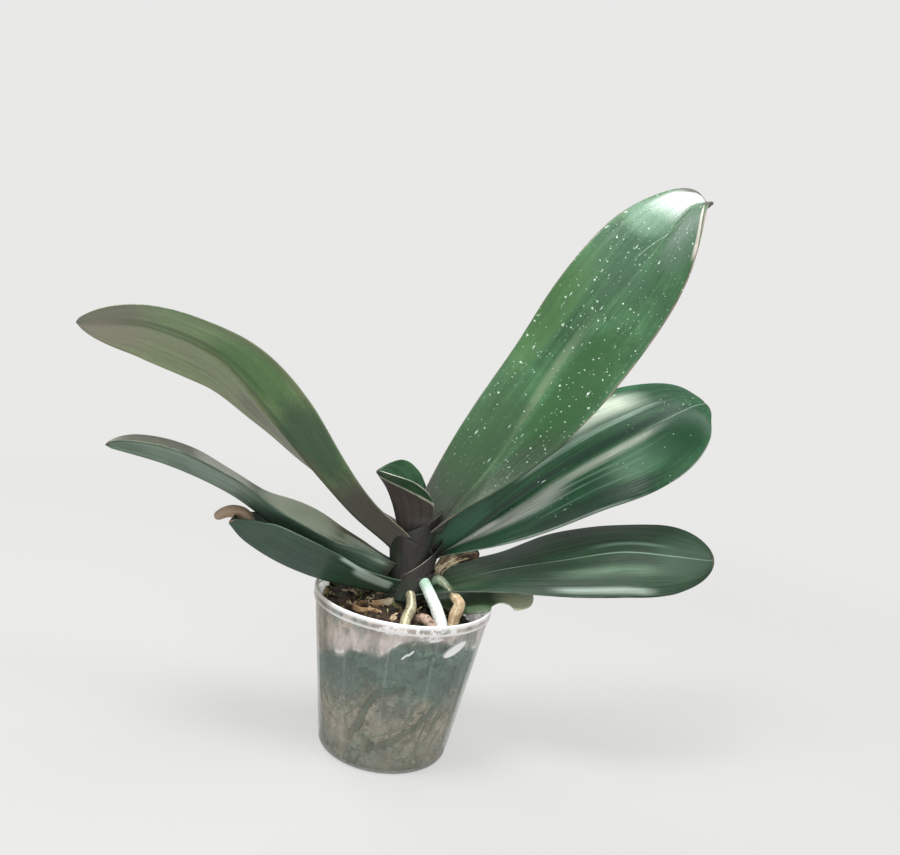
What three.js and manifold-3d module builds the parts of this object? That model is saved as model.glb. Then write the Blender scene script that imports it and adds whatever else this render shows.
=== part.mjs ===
// A moth orchid without its flowers, in a clear plastic nursery pot filled with bark.
// Lengths are in millimetres and angles in degrees. +Z is up, the middle of the pot's
// underside is the origin, and bearings turn from +X, the plant's right, towards +Y, its back.
import * as THREE from 'three';
import { mergeVertices } from 'three/addons/utils/BufferGeometryUtils.js';
import Module from 'manifold-3d';

const wasm = await Module();
wasm.setup();

// Driving sizes

// Clear space kept between neighbouring pieces.
const GAP = 0.35;

const POT = {
  height: 108,
  rimRadius: 60,
  baseRadius: 43.6,
  wall: 1.2,
  floor: 1.6,
  bandHeight: 7,
  bandStep: 1.3,
  bandTaper: 0.2,
  lipRound: 0.5,
  baseChamfer: 1.8,
  segments: 48,
};

const RIB = { count: 12, firstBearing: 26, width: 1.3, proud: 0.5, sunk: 0.5, bottom: 5, top: 97 };

const BED = {
  wallLine: 90,
  dome: 11,
  tilt: 7,
  highBearing: 165,
  wave: 2.4,
  broadTwist: 0.11,
  closeTwist: 0.23,
  hollow: 1.1,
  sideLevels: 4,
  topRings: 4,
  segments: 30,
};

const CHIP = {
  count: 28,
  seed: 7,
  nearest: 15,
  furthest: 44,
  length: [9, 16],
  width: [5.5, 8.5],
  thickness: [3, 5],
  taper: 0.77,
  sides: 4,
  tilt: 24,
  lift: -0.2,
};

// Each leaf's midrib is a list of [reach from the pot's axis, height], in the upright plane of
// its bearing. Roll, fold and edge are lists of angles from the leaf's base to its tip: roll
// turns the blade to the front, fold lifts its two halves at the midrib, and edge at the margin.
const LEAVES = {
  leaf_right_top: {
    bearing: 8,
    midrib: [[8, 122], [26.5, 170.5], [56, 223], [88.5, 281], [123, 342], [148.5, 387.5], [162.5, 396.5]],
    baseHalf: 19, half: 40, widest: 0.55, blunt: 4.7, start: 0.1,
    roll: [8, 42, 46, 56, 18], fold: [78, 36, 15, 26, 30], edge: [70, 15, -7, 12, 16],
  },
  leaf_right_middle: {
    bearing: 17,
    midrib: [[19, 133], [40, 150], [71, 177], [113, 209], [156, 238], [188, 257], [205, 261]],
    baseHalf: 18, half: 45, widest: 0.7, blunt: 2.8,
    roll: [36, 56, 52, 43, 22], fold: [66, 31, 25, -2, 10], edge: [50, 0, -9, -20, -12],
  },
  leaf_right_low: {
    bearing: 6,
    midrib: [[4, 102], [24, 112], [62, 129], [105, 143], [145, 156], [180, 158], [212.5, 156]],
    baseHalf: 13.5, half: 37.3, widest: 0.65, blunt: 2.3,
    roll: [24, 14, 22, 30, 48], fold: [66, 20, 9, -8, 5], edge: [50, -15, -23, -29, -19],
  },
  leaf_right_torn: {
    bearing: 8,
    midrib: [[6, 101], [22, 105], [42, 112], [60, 116.7], [76, 117.4], [89, 116]],
    baseHalf: 6, half: 26, widest: 0.5, blunt: 6, spread: 1.6,
    roll: [6, 14, 10, 6, 5], fold: [60, 10, 2, 0, 0], edge: [40, -12, -11, -17, -15],
  },
  leaf_left_top: {
    bearing: 196,
    midrib: [
      [2, 128], [16.5, 141], [42, 159.5], [71, 186], [103, 217], [136, 247], [178, 261.5], [218.5, 259.5],
    ],
    baseHalf: 18, half: 37, widest: 0.74, blunt: 3.7, start: 0.06,
    roll: [10, -18, -35, -34, -24], fold: [70, 31, 21, 4, 3], edge: [56, 16, 9, -13, -16],
  },
  leaf_left_middle: {
    bearing: 197,
    midrib: [[16, 115], [37, 123.5], [62, 132.5], [92, 149.5], [122, 168], [158, 182], [196, 190.5]],
    baseHalf: 17, half: 30, widest: 0.47, blunt: 4.3,
    roll: [-6, 10, -4, -5, -4], fold: [70, 53, 26, 28, 37], edge: [56, 41, 14, 18, 24],
  },
  leaf_left_low: {
    bearing: 202,
    midrib: [[2, 107], [24, 110], [46, 114], [68, 120], [90, 129], [110, 141], [121, 152]],
    baseHalf: 13, half: 34, widest: 0.6, blunt: 3.4,
    roll: [0, -4, -8, -8, -8], fold: [66, 40, 34, 34, 34], edge: [50, 40, 40, 40, 40],
  },
  leaf_young: {
    bearing: 200,
    midrib: [[8, 146], [11.5, 157], [16, 168.5], [22, 179.5], [31, 190]],
    baseHalf: 18, half: 29, widest: 0.5, blunt: 2.4, shoulder: 0.62,
    roll: [8, 6, 11, 16, 26], fold: [58, 58, 56, 48, 42], edge: [58, 58, 56, 48, 42],
    along: 12,
  },
};

// Sizes that all blades share. Rows and columns are steps along and across half a blade.
const BLADE = {
  along: 20,
  across: 3,
  ribThickness: 2.4,
  marginThickness: 1.2,
  tipHalf: 0.7,
  shoulder: 0.55,
  spread: 0.85,
  tipStart: 0.8,
};

// Leaves that start inside the fold of older ones.
const OLDER_NEIGHBOURS = {
  leaf_young: ['leaf_right_top', 'leaf_left_top', 'leaf_right_middle'],
  leaf_right_top: ['leaf_right_middle', 'leaf_left_top'],
};

// Leaves with roots from the stem passing through their bases.
const ROOTS_THROUGH = {
  leaf_right_low: ['root_tan_front', 'root_white', 'root_tan_arched'],
  leaf_right_torn: ['root_tan_front', 'root_white', 'root_tan_arched', 'root_stub'],
};

// Round bites out of the torn leaf, as [x, y, radius] seen from above.
const TORN_BITES = [[66, -18, 9], [92, -7, 4], [95, 5, 4.5], [92, 17, 5]];
const BITE_SIDES = 12;

// The dried, rolled end of the lowest left leaf.
const CURLED_END = {
  path: [[-100, -36, 149], [-107, -34, 154.5], [-116, -35, 155], [-123.5, -38, 150.5]],
  radii: [3.2, 3.8, 3.7, 2.5],
};

// Leaf bases sheathe the stem, the oldest lowest. Each leans to its own leaf's side, and its
// upper edge rises on that side.
const SHEATHS = [
  { bearing: 200, foot: 84, top: 110, low: 9, high: 12, lean: 1.5, rise: 4 },
  { bearing: 6, foot: 88, top: 121, low: 9, high: 14, lean: 5, rise: 5 },
  { bearing: 197, foot: 96, top: 127, low: 9.5, high: 12, lean: 1, rise: 5 },
  { bearing: 17, foot: 104, top: 133, low: 13.5, high: 15.5, lean: 5.5, rise: 14 },
  { bearing: 196, foot: 112, top: 146, low: 10, high: 15, lean: 2, rise: 6 },
  { bearing: 8, foot: 122, top: 157, low: 10, high: 15.5, lean: 2, rise: 10 },
];
const STEM_HOLE = { bearing: 0, foot: 83, top: 130, low: 10, high: 17, lean: 0, rise: 0 };
const SHEATH_DEPTH = 0.82;
const SHEATH_SIDES = 20;

// Roots in the air, from the stem down into the bark.
const AIR_ROOTS = {
  root_tan_front: {
    path: [[2, -4, 112], [5, -13, 109], [6, -22, 105], [4, -30, 101], [3, -37, 95], [2, -42, 86]],
    radii: [3.4, 3.4, 3.7, 3.8, 3.6, 3.4], colour: 0x9a9274,
  },
  root_white: {
    path: [[8, -3, 121], [12.5, -8, 118.5], [17.5, -13, 112.5], [23, -19, 105], [27, -24, 97], [28, -28, 88]],
    radii: [4, 4, 4.1, 4.2, 4.3, 4.2], colour: 0xe6efe8,
  },
  root_tan_arched: {
    path: [
      [14, 5, 115], [21, 0, 119.5], [25.5, -5.5, 119.5], [29, -9, 117], [33, -12, 114],
      [37, -16, 111], [36, -18, 106], [35, -18.5, 101], [34.5, -19, 92],
    ],
    radii: [3, 3.6, 3.4, 2.9, 3.4, 4.2, 4.3, 4.2, 4], colour: 0xc2ab80,
  },
  root_stub: {
    path: [[8, -17, 92], [12, -21, 98], [17, -26, 100], [21, -31, 97], [24, -36, 88]],
    radii: [3.2, 3.6, 3.8, 3.6, 3], colour: 0xa58d78,
  },
  root_dry: {
    path: [
      [-2, -6, 106.5], [-7, -8, 103.5], [-12, -10, 101.5], [-18, -13, 101], [-24, -14, 100.5],
      [-29, -15, 100], [-30, -21, 100], [-26, -25, 100], [-19, -23, 100], [-13, -21, 98], [-12, -19, 93],
    ],
    radii: [2.3, 2.6, 2.7, 2.8, 2.7, 2.5, 2.4, 2.3, 2.2, 2, 1.8], colour: 0x8a6f52,
  },
};
const ROOT_SIDES = 8;
const ROOT_STEP = 6;

// Roots in the bark run out from a knot under the stem and then along the inside of the wall,
// each through a list of [bearing, height].
const INNER_ROOTS = {
  knot: [0, 0, 66],
  knotRadius: 9,
  radius: 2.7,
  sides: 5,
  step: 10,
  inset: 1.2,
  wayOutShare: 0.7,
  wayOutRise: 3,
  routes: [
    [[-40, 66], [-44, 56], [-52, 45], [-66, 33], [-84, 22], [-104, 15]],
    [[-86, 60], [-97, 57], [-106, 45], [-112, 30], [-122, 18]],
    [[-128, 70], [-146, 62], [-160, 48], [-170, 32], [-182, 20]],
    [[-8, 70], [8, 60], [20, 44], [30, 28], [46, 16]],
    [[70, 68], [84, 58], [96, 42], [112, 30], [132, 22]],
    [[168, 72], [152, 64], [142, 50], [138, 34], [150, 18]],
  ],
};

const SPIKE_HUSK = {
  path: [
    [12, 3, 114], [19.5, 5, 119.5], [21.5, 6, 126], [26.5, 6, 132.5], [34, 7, 137], [41, 7, 139],
    [47, 7, 138.5],
  ],
  radii: [2.8, 3.4, 4, 4.9, 5.4, 5.1, 3.2],
  sides: 10,
};

const COLOURS = {
  clearPlastic: 0xdfe6e6,
  bark: 0x5d4a3a,
  innerRoot: 0x6d7d6b,
  stem: 0x3d3838,
  leafGreen: 0x3f6a4a,
  husk: 0x6b4c36,
};

// Solids from three.js geometry, and back

function solidOf(geometry) {
  const bare = geometry.clone();
  bare.deleteAttribute('normal');
  bare.deleteAttribute('uv');
  const merged = mergeVertices(bare, 1e-4);
  const build = (order) => new wasm.Manifold(new wasm.Mesh({
    numProp: 3,
    vertProperties: new Float32Array(merged.attributes.position.array),
    triVerts: new Uint32Array(order),
  }));
  const order = Array.from(merged.index.array);
  const solid = build(order);
  return solid.volume() > 0 ? solid : build(order.reverse());
}

function geometryOf(solid) {
  const { vertProperties, triVerts } = solid.getMesh();
  const geometry = new THREE.BufferGeometry();
  geometry.setAttribute('position', new THREE.BufferAttribute(new Float32Array(vertProperties), 3));
  geometry.setIndex(new THREE.BufferAttribute(new Uint32Array(triVerts), 1));
  geometry.computeVertexNormals();
  return geometry;
}

function fuse(solids) {
  return solids.reduce((whole, solid) => whole.add(solid));
}

function largestPiece(solid) {
  return solid.decompose().reduce((best, piece) => (piece.volume() > best.volume() ? piece : best));
}

// Curves and closed skins

function radians(degrees) {
  return THREE.MathUtils.degToRad(degrees);
}

function vector([x, y, z]) {
  return new THREE.Vector3(x, y, z);
}

/** Smooth value at s, from 0 to 1, through evenly spaced values. */
function valueAt(values, s) {
  const last = values.length - 1;
  const place = THREE.MathUtils.clamp(s * last, 0, last);
  const i = Math.min(Math.floor(place), last - 1);
  const t = place - i;
  const [from, to] = [values[i], values[i + 1]];
  const before = values[i - 1] ?? 2 * from - to;
  const after = values[i + 2] ?? 2 * to - from;
  const bend = 2 * before - 5 * from + 4 * to - after;
  const turn = 3 * from - before - 3 * to + after;
  return 0.5 * (2 * from + (to - before) * t + bend * t * t + turn * t ** 3);
}

function smoothCurve(points) {
  return new THREE.CatmullRomCurve3(points.map(vector), false, 'catmullrom', 0.5);
}

function closedGeometry(points, triangles) {
  const geometry = new THREE.BufferGeometry();
  geometry.setAttribute('position', new THREE.Float32BufferAttribute(points.flatMap((p) => p.toArray()), 3));
  geometry.setIndex(triangles);
  return geometry;
}

/** Closed skin over a stack of rings, which have the same number of points. */
function loft(rings) {
  const sides = rings[0].length;
  const points = rings.flat();
  const triangles = [];
  for (let ring = 0; ring < rings.length - 1; ring += 1) {
    for (let side = 0; side < sides; side += 1) {
      const here = ring * sides + side;
      const next = ring * sides + ((side + 1) % sides);
      triangles.push(here, next, next + sides, here, next + sides, here + sides);
    }
  }
  const capWith = (ring, flip) => {
    const middle = rings[ring].reduce((sum, p) => sum.add(p), new THREE.Vector3()).divideScalar(sides);
    const centre = points.push(middle) - 1;
    for (let side = 0; side < sides; side += 1) {
      const here = ring * sides + side;
      const next = ring * sides + ((side + 1) % sides);
      triangles.push(...(flip ? [centre, next, here] : [centre, here, next]));
    }
  };
  capWith(0, true);
  capWith(rings.length - 1, false);
  return closedGeometry(points, triangles);
}

/** Round limb along a path, with a radius for each of the path's points. */
function limb(path, radii, sides, step, extra = 0) {
  const curve = smoothCurve(path);
  const steps = Math.max(4, Math.round(curve.getLength() / step));
  const frames = curve.computeFrenetFrames(steps, false);
  const rings = frames.tangents.map((_, i) => {
    const s = i / steps;
    const centre = curve.getPointAt(s).addScaledVector(frames.tangents[i], extra * (2 * s - 1));
    const radius = valueAt(radii, s) + extra;
    return Array.from({ length: sides }, (__, k) => {
      const turn = (2 * Math.PI * k) / sides;
      return centre.clone()
        .addScaledVector(frames.normals[i], radius * Math.cos(turn))
        .addScaledVector(frames.binormals[i], radius * Math.sin(turn));
    });
  });
  return solidOf(loft(rings));
}

/** Closed sheet between two grids of points, split into triangles alike on both faces. */
function sheetBetween(upper, lower) {
  const rows = upper.length;
  const columns = upper[0].length;
  const points = [...upper.flat(), ...lower.flat()];
  const under = rows * columns;
  const at = (row, column) => row * columns + column;
  const triangles = [];
  for (let row = 0; row < rows - 1; row += 1) {
    for (let column = 0; column < columns - 1; column += 1) {
      const corners = [at(row, column), at(row + 1, column), at(row + 1, column + 1), at(row, column + 1)];
      const [a, b, c, d] = corners;
      triangles.push(a, b, c, a, c, d, under + a, under + c, under + b, under + a, under + d, under + c);
    }
  }
  const edge = [];
  for (let row = 0; row < rows - 1; row += 1) edge.push(at(row, 0));
  for (let column = 0; column < columns - 1; column += 1) edge.push(at(rows - 1, column));
  for (let row = rows - 1; row > 0; row -= 1) edge.push(at(row, columns - 1));
  for (let column = columns - 1; column > 0; column -= 1) edge.push(at(0, column));
  edge.forEach((here, i) => {
    const next = edge[(i + 1) % edge.length];
    triangles.push(here, under + here, under + next, here, under + next, next);
  });
  return closedGeometry(points, triangles);
}

// The pot

function wallRadius(z) {
  const bandFoot = POT.height - POT.bandHeight;
  const top = POT.rimRadius - POT.bandStep;
  return POT.baseRadius + ((top - POT.baseRadius) * z) / bandFoot;
}

function innerRadius(z) {
  return wallRadius(z) - POT.wall;
}

function potShell() {
  const bandFoot = POT.height - POT.bandHeight;
  const { height, rimRadius, wall, floor, baseChamfer, bandStep, bandTaper, lipRound } = POT;
  const profile = [
    [0, 0],
    [POT.baseRadius - baseChamfer, 0],
    [wallRadius(baseChamfer), baseChamfer],
    [wallRadius(bandFoot - bandStep), bandFoot - bandStep],
    [rimRadius - bandTaper, bandFoot],
    [rimRadius, height - lipRound],
    [rimRadius - lipRound, height],
    [rimRadius - wall + bandTaper, height],
    [rimRadius - wall, height - lipRound],
    [rimRadius - wall - bandTaper, bandFoot + lipRound],
    [innerRadius(bandFoot - bandStep), bandFoot - bandStep],
    [innerRadius(floor), floor],
    [0, floor],
  ].map(([radius, z]) => new THREE.Vector2(radius, z));
  return solidOf(new THREE.LatheGeometry(profile, POT.segments).rotateX(Math.PI / 2));
}

/** One upright mould rib on the outside of the wall. */
function wallRib(bearing) {
  const rise = RIB.top - RIB.bottom;
  const run = wallRadius(RIB.top) - wallRadius(RIB.bottom);
  const depth = RIB.proud + RIB.sunk;
  const bar = new THREE.BoxGeometry(depth, RIB.width, Math.hypot(rise, run));
  bar.rotateY(Math.atan2(run, rise));
  const middle = (RIB.top + RIB.bottom) / 2;
  bar.translate(wallRadius(middle) + (RIB.proud - RIB.sunk) / 2, 0, middle);
  return solidOf(bar.rotateZ(radians(bearing)));
}

function pot() {
  const ribs = Array.from({ length: RIB.count }, (_, k) => wallRib(RIB.firstBearing + (k * 360) / RIB.count));
  return fuse([potShell(), ...ribs]);
}

// Stem and leaves

function sheath({ bearing, foot, top, low, high, lean, rise }, extra) {
  const turned = radians(bearing);
  const ringAt = (share) => Array.from({ length: SHEATH_SIDES }, (_, k) => {
    const turn = (2 * Math.PI * k) / SHEATH_SIDES;
    const radius = THREE.MathUtils.lerp(low, high, share) + extra;
    const shift = lean * share;
    const x = radius * Math.cos(turn) + shift * Math.cos(turned);
    const y = radius * SHEATH_DEPTH * Math.sin(turn) + shift * Math.sin(turned);
    const slope = share * rise * Math.cos(turn - turned);
    const z = THREE.MathUtils.lerp(foot - extra, top + extra, share) + slope;
    return new THREE.Vector3(x, y, z);
  });
  return solidOf(loft([0, 0.5, 1].map(ringAt)));
}

function stem(extra = 0) {
  return fuse(SHEATHS.map((spec) => sheath(spec, extra)));
}

function halfWidth(leaf, s) {
  const { baseHalf, half, widest, blunt } = leaf;
  if (s < widest) {
    const t = s / widest;
    return baseHalf + (half - baseHalf) * (t * t * (3 - 2 * t)) ** (leaf.spread ?? BLADE.spread);
  }
  const past = (s - widest) / (1 - widest);
  return Math.max(BLADE.tipHalf, half * (1 - past ** blunt) ** (leaf.shoulder ?? BLADE.shoulder));
}

/** Place along the leaf of row i of a count of rows, closer together towards the tip. */
function rowPlace(i, rows) {
  const s = i / rows;
  if (s <= BLADE.tipStart) return s;
  const rest = 1 - BLADE.tipStart;
  return BLADE.tipStart + rest * Math.sin(((s - BLADE.tipStart) / rest) * (Math.PI / 2));
}

/** Distance out and up from the midrib at a share of the half width, as the angle changes. */
function wingPoint(fold, edge, share) {
  const change = edge - fold;
  if (Math.abs(change) < 1e-6) return [share * Math.cos(fold), share * Math.sin(fold)];
  const end = fold + change * share;
  return [(Math.sin(end) - Math.sin(fold)) / change, (Math.cos(fold) - Math.cos(end)) / change];
}

/** Blade with its midrib and margins as listed, and extra thickness to make room round it. */
function blade(leaf, extra = 0) {
  const turned = radians(leaf.bearing);
  const side = Math.sign(Math.cos(turned));
  const curve = smoothCurve(
    leaf.midrib.map(([reach, z]) => [reach * Math.cos(turned), reach * Math.sin(turned), z]),
  );
  const up = new THREE.Vector3(0, 0, 1);
  const rows = leaf.along ?? BLADE.along;
  const start = Math.max(0, (leaf.start ?? 0) - extra / curve.getLength());
  const upper = [];
  const lower = [];
  for (let i = 0; i <= rows; i += 1) {
    const s = start + (1 - start) * rowPlace(i, rows);
    const centre = curve.getPointAt(s);
    const tangent = curve.getTangentAt(s);
    const level = tangent.clone().cross(up).normalize().multiplyScalar(side);
    const face = level.clone().cross(tangent).multiplyScalar(side);
    const roll = radians(valueAt(leaf.roll, s));
    const across = level.clone().multiplyScalar(Math.cos(roll)).addScaledVector(face, -Math.sin(roll));
    const lift = face.clone().multiplyScalar(Math.cos(roll)).addScaledVector(level, Math.sin(roll));
    const fold = radians(valueAt(leaf.fold, s));
    const edge = radians(valueAt(leaf.edge, s));
    const half = halfWidth(leaf, s) + extra;
    const upperRow = [];
    const lowerRow = [];
    for (let k = -BLADE.across; k <= BLADE.across; k += 1) {
      const share = Math.abs(k) / BLADE.across;
      const hand = Math.sign(k);
      const [out, rise] = wingPoint(fold, edge, share).map((length) => length * half);
      const angle = fold + (edge - fold) * share;
      const point = centre.clone().addScaledVector(across, hand * out).addScaledVector(lift, rise);
      const normal = hand === 0
        ? lift.clone()
        : lift.clone().multiplyScalar(Math.cos(angle)).addScaledVector(across, -hand * Math.sin(angle));
      const thick = extra + THREE.MathUtils.lerp(BLADE.ribThickness, BLADE.marginThickness, Math.sqrt(share));
      upperRow.push(point.clone().addScaledVector(normal, thick / 2));
      lowerRow.push(point.clone().addScaledVector(normal, -thick / 2));
    }
    upper.push(upperRow);
    lower.push(lowerRow);
  }
  return solidOf(sheetBetween(upper, lower));
}

function bite([x, y, radius]) {
  const tall = 2 * POT.height;
  const drill = new THREE.CylinderGeometry(radius, radius, tall, BITE_SIDES);
  return solidOf(drill.rotateX(Math.PI / 2).translate(x, y, tall / 2));
}

/** The leaves by name, each trimmed where it meets the stem and the older leaves round it. */
function leaves() {
  const roomForStem = stem(GAP);
  const solids = Object.fromEntries(Object.entries(LEAVES).map(([name, leaf]) => [name, blade(leaf)]));
  Object.entries(OLDER_NEIGHBOURS).forEach(([name, older]) => {
    const room = fuse(older.map((neighbour) => blade(LEAVES[neighbour], 2 * GAP)));
    solids[name] = solids[name].subtract(room);
  });
  Object.entries(ROOTS_THROUGH).forEach(([name, roots]) => {
    const room = fuse(roots.map((root) => airRoot(AIR_ROOTS[root], GAP)));
    solids[name] = solids[name].subtract(room);
  });
  solids.leaf_right_torn = solids.leaf_right_torn.subtract(fuse(TORN_BITES.map(bite)));
  const { path, radii } = CURLED_END;
  solids.leaf_left_low = solids.leaf_left_low.add(limb(path, radii, ROOT_SIDES, ROOT_STEP));
  return Object.fromEntries(
    Object.entries(solids).map(([name, solid]) => [name, largestPiece(solid.subtract(roomForStem))]),
  );
}

// Roots, husk and bark

function airRoot({ path, radii }, extra = 0) {
  return limb(path, radii, ROOT_SIDES, ROOT_STEP, extra);
}

function innerRoots(extra = 0) {
  const { knot, knotRadius, radius, sides, step, inset, wayOutShare, wayOutRise, routes } = INNER_ROOTS;
  const onWall = ([bearing, z]) => {
    const reach = innerRadius(z) - GAP - inset - radius;
    return [reach * Math.cos(radians(bearing)), reach * Math.sin(radians(bearing)), z];
  };
  const runs = routes.map((route) => {
    const [[firstBearing, firstHeight], [nextBearing]] = route;
    const [x, y] = onWall([2 * firstBearing - nextBearing, firstHeight]);
    const wayOut = [x * wayOutShare, y * wayOutShare, firstHeight + wayOutRise];
    return limb([knot, wayOut, ...route.map(onWall)], [radius, radius], sides, step, extra);
  });
  const ball = new THREE.SphereGeometry(knotRadius + extra, 10, 6).translate(...knot);
  return fuse([solidOf(ball), ...runs]);
}

function husk() {
  return limb(SPIKE_HUSK.path, SPIKE_HUSK.radii, SPIKE_HUSK.sides, ROOT_STEP);
}

/** Low waves over the bark, from -1 to 1. */
function bedWave(bearing, radius) {
  const broad = Math.sin(3 * bearing + BED.broadTwist * radius);
  const close = Math.cos(5 * bearing - BED.closeTwist * radius);
  return (broad + close) / 2;
}

function bedHeight(bearing, radius) {
  const share = radius / innerRadius(BED.wallLine);
  const lean = BED.tilt * share * Math.cos(bearing - radians(BED.highBearing));
  return BED.wallLine + lean + BED.dome * (1 - share * share) + BED.wave * bedWave(bearing, radius);
}

function bedBody() {
  const around = Array.from({ length: BED.segments }, (_, k) => (2 * Math.PI * k) / BED.segments);
  const foot = POT.floor + GAP;
  const rings = [];
  for (let level = 0; level <= BED.sideLevels; level += 1) {
    const share = level / BED.sideLevels;
    rings.push(around.map((turn) => {
      const rim = bedHeight(turn, innerRadius(BED.wallLine));
      const z = THREE.MathUtils.lerp(foot, rim, share);
      const hollow = (BED.hollow * (1 + Math.sin(7 * turn + 9 * share) * Math.cos(4 * turn - 5 * share))) / 2;
      const radius = innerRadius(z) - GAP - hollow;
      return new THREE.Vector3(radius * Math.cos(turn), radius * Math.sin(turn), z);
    }));
  }
  for (let ring = 1; ring < BED.topRings; ring += 1) {
    const radius = (innerRadius(BED.wallLine) - BED.hollow - GAP) * (1 - ring / BED.topRings);
    rings.push(around.map((turn) => (
      new THREE.Vector3(radius * Math.cos(turn), radius * Math.sin(turn), bedHeight(turn, radius))
    )));
  }
  return solidOf(loft(rings));
}

function seededRandom(seed) {
  let state = seed;
  return () => {
    state = (state * 1664525 + 1013904223) % 4294967296;
    return state / 4294967296;
  };
}

function barkChips() {
  const random = seededRandom(CHIP.seed);
  const between = ([low, high]) => THREE.MathUtils.lerp(low, high, random());
  return Array.from({ length: CHIP.count }, () => {
    const size = [between(CHIP.length), between(CHIP.width), between(CHIP.thickness)];
    const [long, wide, thick] = size;
    const chip = new THREE.CylinderGeometry(wide / 2, (CHIP.taper * wide) / 2, long, CHIP.sides);
    chip.scale(1, 1, thick / wide).rotateX(radians(CHIP.tilt * (2 * random() - 1)));
    chip.rotateZ(random() * 2 * Math.PI);
    const bearing = random() * 2 * Math.PI;
    const radius = Math.sqrt(THREE.MathUtils.lerp(CHIP.nearest ** 2, CHIP.furthest ** 2, random()));
    const z = bedHeight(bearing, radius) + CHIP.lift;
    return solidOf(chip.translate(radius * Math.cos(bearing), radius * Math.sin(bearing), z));
  });
}

/** The bark that fills the pot, with a plain hole for the stem and for each root. */
function barkMix() {
  const filled = fuse([bedBody(), ...barkChips()]);
  const rootHoles = Object.values(AIR_ROOTS).map((root) => airRoot(root, GAP));
  const holes = fuse([sheath(STEM_HOLE, GAP), innerRoots(GAP), ...rootHoles]);
  return largestPiece(filled.subtract(holes));
}

// The whole plant

function piece(name, solid, colour, finish) {
  const material = new THREE.MeshStandardMaterial({ color: colour, metalness: 0, ...finish });
  const mesh = new THREE.Mesh(geometryOf(solid), material);
  mesh.name = name;
  return mesh;
}

const orchid = new THREE.Group();
orchid.add(piece('pot', pot(), COLOURS.clearPlastic, { roughness: 0.15, transparent: true, opacity: 0.35 }));
orchid.add(piece('bark_mix', barkMix(), COLOURS.bark, { roughness: 0.95 }));
orchid.add(piece('inner_roots', innerRoots(), COLOURS.innerRoot, { roughness: 0.7 }));
orchid.add(piece('stem', stem(), COLOURS.stem, { roughness: 0.5 }));
Object.entries(leaves()).forEach(([name, solid]) => {
  orchid.add(piece(name, solid, COLOURS.leafGreen, { roughness: 0.35 }));
});
const roomForStem = stem(GAP);
Object.entries(AIR_ROOTS).forEach(([name, root]) => {
  const solid = largestPiece(airRoot(root).subtract(roomForStem));
  orchid.add(piece(name, solid, root.colour, { roughness: 0.75 }));
});
const roomForHusk = fuse([
  roomForStem,
  blade(LEAVES.leaf_right_low, 2 * GAP),
  blade(LEAVES.leaf_right_middle, 2 * GAP),
  airRoot(AIR_ROOTS.root_tan_arched, GAP),
]);
const spikeHusk = largestPiece(husk().subtract(roomForHusk));
orchid.add(piece('spike_husk', spikeHusk, COLOURS.husk, { roughness: 0.85 }));

export default orchid;
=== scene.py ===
"""Finishes and fine pieces for a moth orchid without its flowers, in a clear nursery pot of bark."""

import logging
import math
from dataclasses import dataclass
from enum import Enum
from typing import Callable, Sequence

import bmesh
import bpy
import numpy as np
from mathutils import Matrix, Vector, noise


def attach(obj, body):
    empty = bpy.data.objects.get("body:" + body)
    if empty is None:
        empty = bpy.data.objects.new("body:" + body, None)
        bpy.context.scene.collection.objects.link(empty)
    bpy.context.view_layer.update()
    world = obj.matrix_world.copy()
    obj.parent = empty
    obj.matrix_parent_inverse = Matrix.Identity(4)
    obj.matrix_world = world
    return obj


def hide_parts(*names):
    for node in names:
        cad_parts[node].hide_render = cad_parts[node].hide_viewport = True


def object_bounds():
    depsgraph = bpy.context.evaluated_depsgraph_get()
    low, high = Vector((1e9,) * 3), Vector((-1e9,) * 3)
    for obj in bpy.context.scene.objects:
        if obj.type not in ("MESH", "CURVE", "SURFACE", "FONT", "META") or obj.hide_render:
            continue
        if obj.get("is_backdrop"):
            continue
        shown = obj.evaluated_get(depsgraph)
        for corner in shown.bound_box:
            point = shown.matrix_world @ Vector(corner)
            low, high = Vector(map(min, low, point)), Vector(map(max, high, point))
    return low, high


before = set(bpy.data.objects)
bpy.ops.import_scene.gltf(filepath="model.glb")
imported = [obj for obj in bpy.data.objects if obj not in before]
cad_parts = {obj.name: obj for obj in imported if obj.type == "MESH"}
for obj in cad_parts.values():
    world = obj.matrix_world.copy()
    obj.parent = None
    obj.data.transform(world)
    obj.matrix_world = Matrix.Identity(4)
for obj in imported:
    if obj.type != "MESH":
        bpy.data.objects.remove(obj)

LOG = logging.getLogger("orchid")
MM = 0.001
BODY = "root"
PLACE = "place"
TONE = "tone"
FULL_TURN = 2 * math.pi
TINY = 1e-6
FAR_OFF = 1e9
BREAK_SEED = 7

Colour = tuple[float, float, float]
Point = tuple[float, float, float]
Grid = np.ndarray


def light(colour: Colour) -> Colour:
    """Returns a colour as light: whole numbers are read off a screen, from 0 to 255, others are light."""
    if not isinstance(colour[0], int):
        return colour
    shares = (channel / 255 for channel in colour)
    return tuple(c / 12.92 if c <= 0.04045 else ((c + 0.055) / 1.055) ** 2.4 for c in shares)


# Curves


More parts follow.
